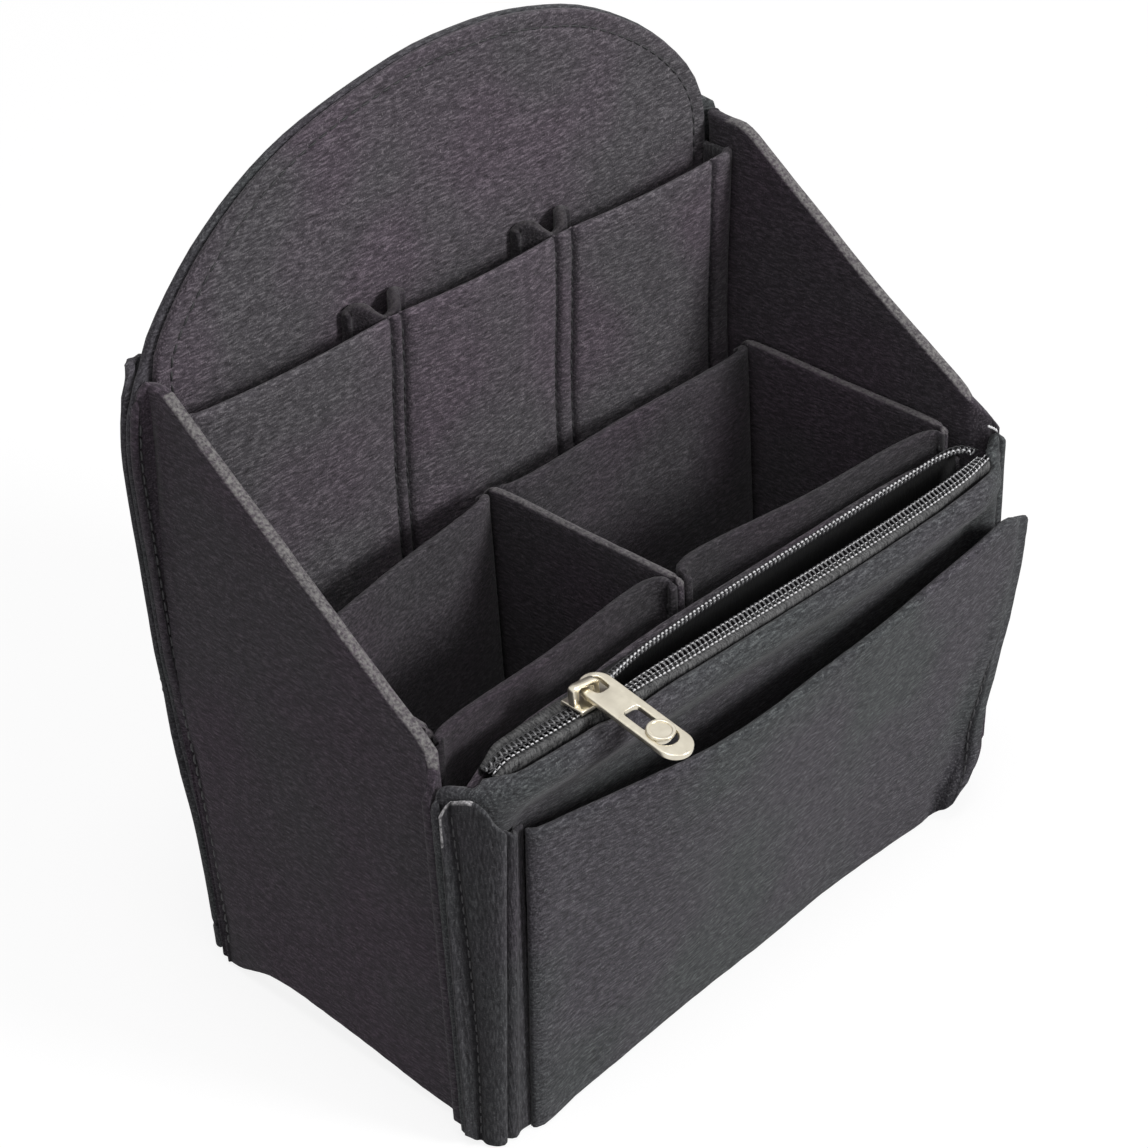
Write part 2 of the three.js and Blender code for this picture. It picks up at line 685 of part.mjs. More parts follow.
function pocketPaths() {
  const top = [];
  const bottom = [];
  pocketFaceShares.forEach(([topX, topOut, bottomX, bottomOut]) => {
    top.push([topX * halfWidth, -halfDepth - topOut * bellyTop, frontPocketHeight]);
    bottom.push([bottomX * halfWidth, -halfDepth - bottomOut * bellyBottom, 0]);
  });
  const flangeTop = frontPocketHeight - 2 * foldRadius;
  const flangeFrontY = frontPocketFlangeY - clearance;
  top.push([sideX, flangeFrontY - foldRadius, frontPocketHeight - foldRadius]);
  top.push([flangeX - flangeOut / 4, flangeFrontY, flangeTop]);
  top.push([flangeX + foldRadius, flangeFrontY, flangeTop - foldRadius / 2]);
  bottom.push([sideX - foldRadius / 2, frontPocketFlangeY + foldRadius / 2, foldRadius / 2]);
  bottom.push([sideX + flangeOut / 4, frontPocketFlangeY, rightFlangeCorner / 4]);
  bottom.push([sideX + flangeOut / 2, frontPocketFlangeY, rightFlangeCorner / 2]);
  return { top, bottom };
}

function addFrontPocket() {
  const { top, bottom } = pocketPaths();
  const straight = ruled(bottom, top);
  const place = (u, v) => {
    const point = straight(u, v);
    const share = interpolate(pocketFlangeRiseShares, pocketFlangeWidthShares, v);
    if (point.x > sideX) point.x = THREE.MathUtils.lerp(sideX, point.x, share);
    return point;
  };
  const columns = even(2 * (top.length - 1));
  addPiece('front_pocket_panel', sheet(place, columns, pocketFlangeRiseShares, frontPocketFelt), looks.felt);
}

// The pocket's floor closes the foot of the bellows between the pocket's face and the front panel.
function addFrontPocketFloor() {
  const faceY = courseAt(pocketPaths().bottom);
  const rear = frontBottomY - wallFelt / 2 - 2 * clearance;
  const leftX = -0.84 * halfWidth;
  const rightX = 0.6 * halfWidth;
  const inside = frontPocketFelt / 2 + 2 * clearance;
  const place = (u, v) => {
    const x = THREE.MathUtils.lerp(leftX, rightX, u);
    return new THREE.Vector3(x, THREE.MathUtils.lerp(faceY(x) + inside, rear, v), pocketFloorFelt / 2);
  };
  addPiece('front_pocket_floor', sheet(place, even(16), even(1), pocketFloorFelt), looks.gusset);
}

// The left gusset of the bellows pocket: sewn on the flange, wrapped over the corner of the
// front panel and folded to and fro in two pleats up to the pocket's face.
const pleatXShares = [-1.036, -1.014, -0.99, -0.964, -0.944, -0.925, -0.905, -0.886, -0.868];
const pleatTopOutShares = [0.393, 0.436, 0.575, 0.71, 0.71, 0.71, 0.71, 0.71, 0.73];
const pleatBottomOutShares = [0.632, 0.67, 0.78, 0.86, 0.87, 0.86, 0.86, 0.86, 0.9];
const pleatFoldShares = [0, 0, 0, 0.1, 0, 1, 0, 1, 0.4];
const pleatBottomShiftShares = [0, 0, 0.004, 0.01, 0.016, 0.022, 0.028, 0.032, 0.034];
const pleatTopDrop = [0, 0.6, 1.4, 2.6, 3.2, 3.9, 4.7, 5.6, 6.6];

function addPocketBellows() {
  const gussetTop = frontPocketHeight + pleatTopDrop[pleatTopDrop.length - 1];
  const top = [];
  const bottom = [];
  pleatXShares.forEach((share, k) => {
    const fold = pleatFoldShares[k] * pleatReach;
    const topY = -halfDepth - pleatTopOutShares[k] * bellyTop - fold;
    const bottomY = -halfDepth - pleatBottomOutShares[k] * bellyBottom - fold / 2;
    top.push([share * halfWidth, topY, gussetTop - pleatTopDrop[k]]);
    bottom.push([(share - pleatBottomShiftShares[k]) * halfWidth, bottomY, k < 2 ? leftFlangeCorner : 0]);
  });
  const geometry = sheet(ruled(bottom, top), even(32), even(4), pleatFelt);
  addPiece('front_pocket_left_gusset', geometry, looks.gusset);
}

// Metal parts of the slider, drawn in plan round its middle and stacked on the coil.
const coilTop = zipZ + coilHeight / 2 + sliderRunning;
const coilBottom = zipZ - coilHeight / 2 - sliderRunning;
const sliderTop = coilTop + sliderPlate;

function extrude(outline, low, high, holes = []) {
  const shape = new THREE.Shape(outline.map(([x, y]) => new THREE.Vector2(x, y)));
  shape.holes = holes;
  const options = { depth: high - low, bevelEnabled: false, curveSegments: 8 };
  const geometry = new THREE.ExtrudeGeometry(shape, options);
  geometry.translate(0, 0, low);
  return geometry;
}

function toSolid(geometry) {
  geometry.deleteAttribute('normal');
  geometry.deleteAttribute('uv');
  const merged = mergeVertices(geometry);
  const vertProperties = new Float32Array(merged.attributes.position.array);
  const triVerts = new Uint32Array(merged.index.array);
  return new wasm.Manifold(new wasm.Mesh({ numProp: 3, vertProperties, triVerts }));
}

function fromSolid(solid) {
  const mesh = solid.getMesh();
  const geometry = new THREE.BufferGeometry();
  geometry.setAttribute('position', new THREE.BufferAttribute(mesh.vertProperties, 3));
  geometry.setIndex(new THREE.BufferAttribute(mesh.triVerts, 1));
  return geometry.toNonIndexed();
}

// Half the width inside the slider, from its tail to its nose, and the wall outside that.
function sliderInnerHalf(x) {
  const fromTail = rootOffset + spineWidth + sliderRunning;
  const fromNose = nosePartOffset + spineWidth + sliderRunning + 1.5 * clearance;
  const places = [-sliderLength / 2, -sliderLength / 10, sliderLength * 0.4];
  return interpolate(places, [fromTail, fromTail, fromNose], x);
}

const sliderStationShares = [-0.5, -0.3, -0.1, 0.06, 0.2, 0.32, 0.42, 0.5];

function sliderEdge(side, extra) {
  return sliderStationShares.map((share, k) => {
    const x = share * sliderLength;
    const rounded = k === sliderStationShares.length - 1 ? sliderWall : 0;
    return [sliderX + x, zipY + side * (sliderInnerHalf(x) + extra - rounded)];
  });
}

function addSliderBody() {
  const outline = [...sliderEdge(-1, sliderWall), ...sliderEdge(1, sliderWall).reverse()];
  const slotHalf = sliderTapeSlot / 2;
  const solids = [toSolid(extrude(outline, coilBottom - sliderPlate, coilBottom))];
  solids.push(toSolid(extrude(outline, coilTop, sliderTop)));
  for (const side of [-1, 1]) {
    const wall = [...sliderEdge(side, 0), ...sliderEdge(side, sliderWall).reverse()];
    const turned = side < 0 ? wall.reverse() : wall;
    const overlap = sliderPlate / 2;
    solids.push(toSolid(extrude(turned, coilBottom - overlap, zipZ - slotHalf)));
    solids.push(toSolid(extrude(turned, zipZ + slotHalf, coilTop + overlap)));
  }
  const nose = sliderNose - sliderRunning;
  const neck = [[sliderX + sliderLength / 4, zipY], [nose, zipY - neckHalf], [nose, zipY + neckHalf]];
  solids.push(toSolid(extrude(neck, coilBottom - sliderPlate / 2, sliderTop - sliderPlate / 2)));
  addPiece('zip_slider_body', fromSolid(wasm.Manifold.union(solids)), looks.metal);
}

// The bridge stands on the upper plate; one of its legs passes through the pull's slot.
const bridgeLeftX = sliderTail + bridgeLeg / 2;
const pivotX = bridgeLeftX + bridgeLegSpacing;

function addBridge() {
  const left = bridgeLeftX - bridgeLeg / 2;
  const right = pivotX + bridgeLeg / 2;
  const innerLeft = left + bridgeLeg;
  const innerRight = right - bridgeLeg;
  const rounding = bridgeThickness / 2;
  const high = sliderTop + bridgeHeight;
  const lower = high - bridgeSlope;
  const outline = [[left, sliderTop], [innerLeft, sliderTop], [innerLeft, high - bridgeThickness - rounding]];
  outline.push([innerLeft + rounding, high - bridgeThickness]);
  outline.push([innerRight - rounding, lower - bridgeThickness]);
  outline.push([innerRight, lower - bridgeThickness - rounding], [innerRight, sliderTop], [right, sliderTop]);
  outline.push([right, lower - rounding * 2], [right - rounding, lower - rounding / 2]);
  outline.push([right - rounding * 2, lower], [left + rounding * 2, high]);
  outline.push([left + rounding, high - rounding / 2], [left, high - rounding * 2]);
  const geometry = extrude(outline, -bridgeWidth / 2, bridgeWidth / 2);
  geometry.rotateX(Math.PI / 2);
  geometry.translate(0, zipY, 0);
  addPiece('zip_slider_bridge', geometry, looks.metal);
}

// The pull is drawn flat with its pivot at the origin and its length along -Y, then drooped.
function droop(geometry) {
  geometry.rotateX(THREE.MathUtils.degToRad(pullDroopDegrees));
  geometry.translate(pivotX, zipY, sliderTop + pullHeight);
  return geometry;
}

function rectangularHole(halfAcross, near, far) {
  const path = new THREE.Path();
  path.moveTo(-halfAcross, near);
  path.lineTo(-halfAcross, far);
  path.lineTo(halfAcross, far);
  path.lineTo(halfAcross, near);
  path.closePath();
  return path;
}

function addPull() {
  const half = pullWidth / 2;
  const end = 2 * slotRim;
  const far = end - pullLength;
  const shape = new THREE.Shape();
  shape.moveTo(half, far + half);
  shape.lineTo(half, end - half);
  shape.absarc(0, end - half, half, 0, Math.PI, false);
  shape.lineTo(-half, far + half);
  shape.absarc(0, far + half, half, Math.PI, 2 * Math.PI, false);
  const slotEnd = slotRim - slotLength;
  const windowStart = slotEnd - windowGap;
  const windowEnd = windowStart - windowLength;
  shape.holes.push(rectangularHole(slotWidth / 2, slotRim, slotEnd));
  shape.holes.push(rectangularHole(windowWidth / 2, windowStart, windowEnd));
  const discY = windowEnd + discOverlap - discRadius;
  const crescent = new THREE.Path();
  crescent.absarc(0, discY - crescentWidth, discRadius - clearance, Math.PI * 1.05, Math.PI * 1.95, false);
  crescent.closePath();
  shape.holes.push(crescent);
  const options = { depth: pullThickness, bevelEnabled: false, curveSegments: 12 };
  const plate = new THREE.ExtrudeGeometry(shape, options);
  plate.translate(0, 0, -pullThickness / 2);
  addPiece('zip_pull_plate', droop(plate), looks.metal);
  const disc = new THREE.CylinderGeometry(discRadius, discRadius, discHeight, 32);
  disc.rotateX(Math.PI / 2);
  disc.translate(0, discY, (pullThickness + discHeight) / 2);
  addPiece('zip_pull_disc', droop(disc), looks.metal);
}

addBack();
addBackPocket();
addSidePanel('left_side_panel', -1, leftFlangeCorner, 0, leftFlangeDrop);
addSidePanel('right_side_panel', 1, rightFlangeCorner, rightFlangeTuck, rightFlangeDrop);
addBottom();
addInnerPockets();
addPocketDivider('left_pocket_divider', leftDividerX);
addPocketDivider('right_pocket_divider', rightDividerX);
addPocketGusset('left_pocket_gusset', -1);
addPocketGusset('right_pocket_gusset', 1);
addInsert();
addStrand('zip_coil_rear', 1);
addStrand('zip_coil_front', -1);
addTape('zip_tape_rear', 1);
addTape('zip_tape_front', -1);
addSliderBody();
addBridge();
addPull();
addPouchPanel();
addFrontPanel();
addFrontPocket();
addFrontPocketFloor();
addPocketBellows();

export default organizer;
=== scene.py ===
# %% [markdown]
# # A felt organizer insert, dressed for a render
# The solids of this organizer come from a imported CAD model, which stays in place as a frame.
# Each cell below makes some pieces or one finish of the real thing: stiff needled felt, cut with a
# blade and sewn with dark thread, and a small zip with a metal slider. A felt board is a sheet
# with two faces and a soft cut edge, so nearly all pieces come from one sheet maker.
# Lengths are written in millimetres and turned into metres where a mesh is made.

# %% Load the frame
import json
import math

import bmesh
import bpy
import numpy as np
from mathutils import Matrix, Vector

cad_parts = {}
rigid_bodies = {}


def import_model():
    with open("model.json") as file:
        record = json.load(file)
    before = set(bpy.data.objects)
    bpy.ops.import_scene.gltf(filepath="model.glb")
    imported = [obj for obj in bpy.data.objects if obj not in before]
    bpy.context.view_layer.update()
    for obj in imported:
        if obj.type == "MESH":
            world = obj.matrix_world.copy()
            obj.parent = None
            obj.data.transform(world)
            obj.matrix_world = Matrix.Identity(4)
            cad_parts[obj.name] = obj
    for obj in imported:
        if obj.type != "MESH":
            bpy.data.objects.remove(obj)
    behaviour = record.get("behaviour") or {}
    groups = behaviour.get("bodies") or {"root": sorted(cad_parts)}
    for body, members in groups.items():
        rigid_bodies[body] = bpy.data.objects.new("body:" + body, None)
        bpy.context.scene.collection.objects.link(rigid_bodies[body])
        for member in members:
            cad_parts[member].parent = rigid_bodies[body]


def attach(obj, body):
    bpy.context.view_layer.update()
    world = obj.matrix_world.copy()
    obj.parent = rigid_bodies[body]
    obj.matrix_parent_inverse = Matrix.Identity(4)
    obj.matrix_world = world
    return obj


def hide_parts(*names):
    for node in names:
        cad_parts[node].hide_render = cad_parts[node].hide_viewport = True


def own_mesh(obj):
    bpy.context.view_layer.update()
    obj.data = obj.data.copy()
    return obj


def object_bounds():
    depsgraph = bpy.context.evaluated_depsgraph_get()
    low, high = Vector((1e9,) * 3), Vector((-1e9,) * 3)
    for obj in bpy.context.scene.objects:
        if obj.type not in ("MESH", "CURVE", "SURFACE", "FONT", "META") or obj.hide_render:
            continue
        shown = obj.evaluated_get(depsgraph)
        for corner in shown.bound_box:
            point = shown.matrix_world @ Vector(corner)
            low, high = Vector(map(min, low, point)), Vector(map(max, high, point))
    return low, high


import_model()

MM = 0.001
cad_box = [list(corner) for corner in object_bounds()]
print("CAD box", [[round(v, 4) for v in corner] for corner in cad_box])

# %% [markdown]
# ## Camera
# A photograph fixes where its camera stood. Points of the object whose places are known, such as
# the corners of the walls, were matched to it, and that gives a place, a direction and a roll.
# The lens follows from the focal length in pixels: 36 mm of sensor for 1148 pixels.

# %% Camera from the fitted view
photo_pixels, focal_pixels, sensor_mm = 1148, 3530.39, 36
camera_place = Vector((-0.473179, -0.522974, 0.540606))
view_forward = Vector((0.56115077, 0.62640583, -0.54104118)).normalized()
view_level = Vector((0.7448, -0.6673, 0)).normalized()
view_roll = math.radians(-3.939)
level_up = view_level.cross(view_forward)
view_right = math.cos(view_roll) * view_level + math.sin(view_roll) * level_up
view_up = view_right.cross(view_forward)
camera = bpy.data.objects.new("camera", bpy.data.cameras.new("camera"))
camera.data.sensor_width = sensor_mm
camera.data.lens = sensor_mm * focal_pixels / photo_pixels
view_turn = Matrix((view_right, view_up, -view_forward)).transposed()
camera.matrix_world = Matrix.Translation(camera_place) @ view_turn.to_4x4()
bpy.context.collection.objects.link(camera)
bpy.context.scene.camera = camera
bpy.context.scene.view_settings.view_transform = "Standard"
print("lens", round(camera.data.lens, 1), "mm")

# %% [markdown]
# ## Shader maths
# A felt colour is arithmetic on a few noises. Written with nodes by hand that is hard to read, so
# a small class wraps a socket and turns +, -, * and / into Math nodes. `Paint` holds one material
# and makes every other node from its type, its settings and its inputs. Many finishes only drift
# between two tones, so one function serves thread, plastic and the floor.

# %% Sockets that can be added and multiplied
class Number:
    def __init__(self, paint, socket):
        self.paint, self.socket = paint, socket

    def use(self, operation, *others, clamp=False):
        settings = {"operation": operation, "use_clamp": clamp}
        node = self.paint.node("ShaderNodeMath", settings, [self, *others])
        return Number(self.paint, node.outputs[0])

    def __add__(self, other):
        return self.use("ADD", other)

    def __sub__(self, other):
        return self.use("SUBTRACT", other)

    def __mul__(self, other):
        return self.use("MULTIPLY", other)

    def __truediv__(self, other):
        return self.use("DIVIDE", other)

    def __rsub__(self, other):
        return (self * -1) + other

    __radd__ = __add__

    def step(self, low, high):
        """0 below low, 1 above high and a ramp between."""
        return ((self - low) / (high - low)).use("ADD", 0, clamp=True)


class Paint:
    def __init__(self, name):
        self.material = bpy.data.materials.new(name)
        self.material.use_nodes = True
        self.tree = self.material.node_tree
        self.shader = self.tree.nodes["Principled BSDF"]
        self.place = self.node("ShaderNodeTexCoord", {}, {}).outputs["Object"]

    def node(self, kind, settings, inputs):
        node = self.tree.nodes.new(kind)
        for key, value in settings.items():
            setattr(node, key, value)
        pairs = inputs.items() if isinstance(inputs, dict) else enumerate(inputs)
        for key, value in pairs:
            self.set(node.inputs[key], value)
        return node

    def set(self, socket, value):
        if isinstance(value, Number):
            value = value.socket
        if isinstance(value, bpy.types.NodeSocket):
            self.tree.links.new(value, socket)
            return
        default = socket.default_value
        needs_alpha = hasattr(default, "__len__") and len(default) == 4 and len(value) == 3
        socket.default_value = (*value, 1) if needs_alpha else value

    def noise(self, stretch, turn=(0, 0, 0), detail=2.0):
        """Noise whose grains are 1000 / stretch millimetres long: one number, or one per axis."""
        if isinstance(stretch, (int, float)):
            stretch = (stretch, stretch, stretch)
        inputs = {"Vector": self.place, "Rotation": turn, "Scale": stretch}
        spots = self.node("ShaderNodeMapping", {}, inputs).outputs[0]
        inputs = {"Vector": spots, "Scale": 1.0, "Detail": detail, "Roughness": 0.5}
        node = self.node("ShaderNodeTexNoise", {"noise_dimensions": "3D"}, inputs)
        return Number(self, node.outputs["Fac"])

    def attribute(self, name):
        node = self.node("ShaderNodeAttribute", {"attribute_name": name}, {})
        return Number(self, node.outputs["Fac"])

    def ramp(self, number, stops):
        node = self.node("ShaderNodeValToRGB", {}, [number])
        elements = node.color_ramp.elements
        while len(elements) < len(stops):
            elements.new(0.5)
        for element, (position, colour) in zip(elements, stops):
            element.position, element.color = position, (*colour, 1)
        return node.outputs["Color"]

    def mix(self, share, first, second, blend="MIX"):
        settings = {"data_type": "RGBA", "blend_type": blend}
        node = self.node("ShaderNodeMix", settings, {0: share, 6: first, 7: second})
        return node.outputs[2]

    def bump(self, height, strength, distance_mm):
        inputs = {"Strength": strength, "Distance": distance_mm * MM, "Height": height}
        self.set(self.shader.inputs["Normal"], self.node("ShaderNodeBump", {}, inputs).outputs[0])

    def finish(self, **values):
        for key, value in values.items():
            self.set(self.shader.inputs[key.replace("_", " ")], value)
        return self.material


def two_tone_paint(name, grains, dark, light, rough, swing=0.0, bump=0.0, specular=0.5):
    """A paint that drifts between two colours; swing is how much its roughness drifts too."""
    paint = Paint(name)
    tone = paint.noise(grains, detail=1)
    if bump:
        paint.bump(tone, bump, 0.2)
    paint.finish(Base_Color=paint.ramp(tone, [(0.3, dark), (0.7, light)]), Specular_IOR_Level=specular,
                 Roughness=tone * swing + rough if swing else rough)
    return paint

# %% [markdown]
# ## Felt
# Needled felt is a mat of dyed fibres. Seen close, pale and dark fibres run mostly one way and
# cross in all others, and the tone drifts between a warm and a green grey. Where felt is cut with
# a blade the edge shows fibre ends and looks paler. So the colour is stretched noise along the
# grain, finer noise across it and a slow drift. Two distances kept on the mesh, `rim` and `seam`,
# say how far a point is from a pale cut edge and from a stitched groove. The groove's dark line is
# partly the dark thread sunk in the felt and partly painted shade in the pressed crease. The
# recipes differ in grain, tint and the colour of their cut edge, and in a tone that paints light
# and shade into copies of one dye: lighter on the lining and inner pockets, darker where boards
# stand in each other's shade or face away from the lamps.

# %% Felt, in one recipe with a grain direction, a tone and a tint
def felt_paint(name, grain, tint, tone=1.0, edge=(0.27, 0.262, 0.25)):
    paint = Paint(name)
    along, across = 480, 1900
    pale_width, seam_width = 0.6, 1.4
    stretch = tuple(along if axis == grain else across for axis in "xyz")
    slant = {"x": (0, 0.42, 0.1), "y": (0.42, 0, 0.1), "z": (0.3, 0.3, 0)}[grain]
    fibres = paint.noise(stretch, slant, detail=3)
    crossing = paint.noise(stretch, tuple(-1.6 * value for value in slant), detail=2)
    fine = paint.noise(2800, detail=1)
    drift = paint.noise(26, detail=1)
    blend = fibres * 0.46 + crossing * 0.3 + fine * 0.24
    dark, dull, pale = (0.014, 0.0125, 0.0145), (0.054, 0.051, 0.057), (0.16, 0.154, 0.163)
    body = paint.ramp(blend, [(0.33, dark), (0.5, dull), (0.68, pale)])
    green, warm = (0.95, 1.02, 0.96), (1.05, 0.975, 1.03)
    body = paint.mix(1.0, body, paint.ramp(drift, [(0.4, green), (0.62, warm)]), "MULTIPLY")
    fleck = paint.noise(1700, detail=0).step(0.74, 0.8) * 0.3
    body = paint.mix(fleck, body, (0.3, 0.3, 0.3))
    speckle = paint.noise(1250, detail=2).step(0.36, 0.66)
    cut = (1 - paint.attribute("rim") / pale_width).step(0, 1) * (0.2 + speckle * 0.8)
    body = paint.mix(cut, body, edge)
    # The seam's dark line: partly the dark thread sunk in the groove, partly painted shade in the pressed
    # crease.
    groove = (1.15 - paint.attribute("seam") / seam_width).step(0, 1) * (0.7 + speckle * 0.3)
    body = paint.mix(groove, body, (0.006, 0.005, 0.007))
    # The tone scales the whole colour: above 1 it is painted light, below 1 painted shade.
    body = paint.mix(1.0, body, tuple(tone * share for share in tint), "MULTIPLY")
    height = fibres * 0.6 + crossing * 0.35 + fine * 0.25
    paint.bump(height, 0.55, 0.8)
    return paint.finish(Base_Color=body, Roughness=0.94, Specular_IOR_Level=0.12, Sheen_Weight=0.12,
                        Sheen_Roughness=0.6)


# Each recipe's tone paints light and shade into copies of this one felt. The inside felt is lighter, as
# painted light. The others are darker, as painted shade, most of all on the insert's front walls and the
# channels.
felt_x = felt_paint("felt grain across", "x", tint=(0.95, 1, 1.0))
felt_inside = felt_paint("felt inside grain across", "x", tone=1.24, tint=(1.07, 0.98, 1.04))
felt_loose = felt_paint("felt of the loose insert", "x", tone=0.68, tint=(1.08, 0.97, 1.06))
felt_y = felt_paint("felt grain front to back", "y", tone=0.78, tint=(1.12, 0.95, 1.1),
                    edge=(0.25, 0.285, 0.24))
felt_thin = felt_paint("thin felt", "z", tone=0.74, tint=(1.03, 1, 1.02))
felt_painted_shade = felt_paint("darker felt of the insert", "x", tone=0.48, tint=(1.08, 0.97, 1.06))
felt_folded = felt_paint("folded felt of the channels", "x", tone=0.5, tint=(1.04, 0.98, 1.03),
                         edge=(0.13, 0.126, 0.125))
felt_frayed = felt_paint("thin felt with a frayed edge", "z", tone=0.74, tint=(1.0, 1, 1.04),
                         edge=(1.0, 0.98, 0.95))
recipes = (felt_x, felt_inside, felt_loose, felt_y, felt_thin, felt_painted_shade, felt_folded, felt_frayed)
print("felt recipes:", [felt.name for felt in recipes])

# %% [markdown]
# ## Curves
# The walls follow smooth courses in plan. The CAD source draws them as centripetal Catmull-Rom
# curves, which pass through every point without overshooting, so the same curve is written here
# with numpy and works on a whole array of shares at once.

# %% Smooth courses and surfaces ruled between two of them
def course(points):
    points = np.array(points, float)
    padded = np.vstack([2 * points[0] - points[1], points, 2 * points[-1] - points[-2]])
    last = len(points) - 1

    def spread(a, b):
        return np.maximum(((a - b) ** 2).sum(-1) ** 0.25, 1e-6)[..., None]

    def at(share):
        place = np.clip(np.asarray(share, float), 0, 1) * last
        k = np.minimum(place.astype(int), last - 1)
        w = (place - k)[..., None]
        p0, p1, p2, p3 = (padded[k + offset] for offset in range(4))
        d0, d1, d2 = spread(p0, p1), spread(p1, p2), spread(p2, p3)
        leave = ((p1 - p0) / d0 - (p2 - p0) / (d0 + d1) + (p2 - p1) / d1) * d1
        arrive = ((p2 - p1) / d1 - (p3 - p1) / (d1 + d2) + (p3 - p2) / d2) * d1
        cubic = 2 * p1 - 2 * p2 + leave + arrive
        return p1 + leave * w + (3 * p2 - 3 * p1 - 2 * leave - arrive) * w**2 + cubic * w**3

    return at


def ruled(bottom, top, warp=None):
    low, high = course(bottom), course(top)

    def place(u, v):
        points = low(u) * (1 - v)[..., None] + high(u) * v[..., None]
        return warp(points) if warp else points

    return place


def unit(vectors):
    return vectors / np.maximum(np.linalg.norm(vectors, axis=-1, keepdims=True), 1e-12)


def ease(share):
    """0 up to 0, 1 from 1 on, and a soft step between."""
    share = np.clip(share, 0, 1)
    return share * share * (3 - 2 * share)


def ripple(points, size, seed):
    """A smooth made-up noise between -1 and 1: a few sine waves in fixed odd directions."""
    rng = np.random.default_rng(seed)
    total = np.zeros(points.shape[:-1])
    for k in range(5):
        direction = unit(rng.normal(size=3)) * (0.7 + 0.25 * k)
        total += np.sin(points @ direction * 2 * math.pi / size + rng.uniform(0, 6.3)) / (1 + 0.4 * k)
    return total / 3

# %% [markdown]
# ## One sheet of felt
# The sheet maker takes a surface and lays a grid on it, with extra lines near edges and seams.
# Each point moves half the felt's thickness to either side. At a cut edge the two faces close in
# a small lip with a slightly ragged line, at a folded edge in a full round, and along a seam they
# are pressed in. Two marks are kept on the mesh for the material: `rim`, the distance to the
# nearest pale edge, and `seam`, the distance to the nearest seam. A sheet can also be squeezed,
# where sewn plies press each other flat. A box with a bevel would be quicker, and would look
# machined, which felt never does.

# %% Meshes from arrays, with painted marks
def add_mesh(name, points, faces, material, body, node=None, marks=None, slot=None, weld=False):
    mesh = bpy.data.meshes.new(name)
    mesh.from_pydata((np.asarray(points) * MM).tolist(), [], [list(map(int, face)) for face in faces])
    for mark, values in (marks or {}).items():
        layer = mesh.attributes.new(mark, "FLOAT", "POINT")
        layer.data.foreach_set("value", np.asarray(values, "f").ravel())
    shape = bmesh.new()
    shape.from_mesh(mesh)
    if weld:
        bmesh.ops.remove_doubles(shape, verts=shape.verts, dist=0.002 * MM)
    loose = [vert for vert in shape.verts if not vert.link_faces]
    bmesh.ops.delete(shape, geom=loose, context="VERTS")
    shape.to_mesh(mesh)
    shape.free()
    mesh.polygons.foreach_set("use_smooth", [True] * len(mesh.polygons))
    mesh.materials.append(material)
    piece = bpy.data.objects.new(name, mesh)
    bpy.context.collection.objects.link(piece)
    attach(piece, body)
    if node:
        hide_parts(node)
    return piece


def stations(length, step, seams, thick, ends="lr"):
    """Distances along a side: even, but closer at the cut ends and beside the seams."""
    clear = 0.4
    near = [0, 0.05 * thick, 0.14 * thick, 0.3 * thick]
    first = near if "l" in ends else [0]
    last = [length - end for end in near] if "r" in ends else [length]
    spots = [s for s in np.linspace(0, length, max(3, round(length / step) + 1))[1:-1]
             if first[-1] + clear < s < min(last) - clear]
    for seam in seams:
        beside = [seam + offset for offset in (-1.2, -0.5, 0, 0.5, 1.2)]
        spots = [s for s in spots if abs(s - seam) > 1.7]
        spots += [s for s in beside if clear < s < length - clear]
    return np.array(sorted([*first, *spots, *last]))


def grid_faces(rows, columns, start, flip):
    j, i = np.meshgrid(np.arange(rows - 1), np.arange(columns - 1), indexing="ij")
    a = (start + j * columns + i).ravel()
    quads = np.stack([a, a + 1, a + columns + 1, a + columns], -1)
    return quads[:, ::-1] if flip else quads


def run_along(points, axis):
    gaps = np.linalg.norm(np.diff(points, axis=axis), axis=-1)
    return np.cumsum(np.insert(gaps, 0, 0, axis=axis), axis=axis)

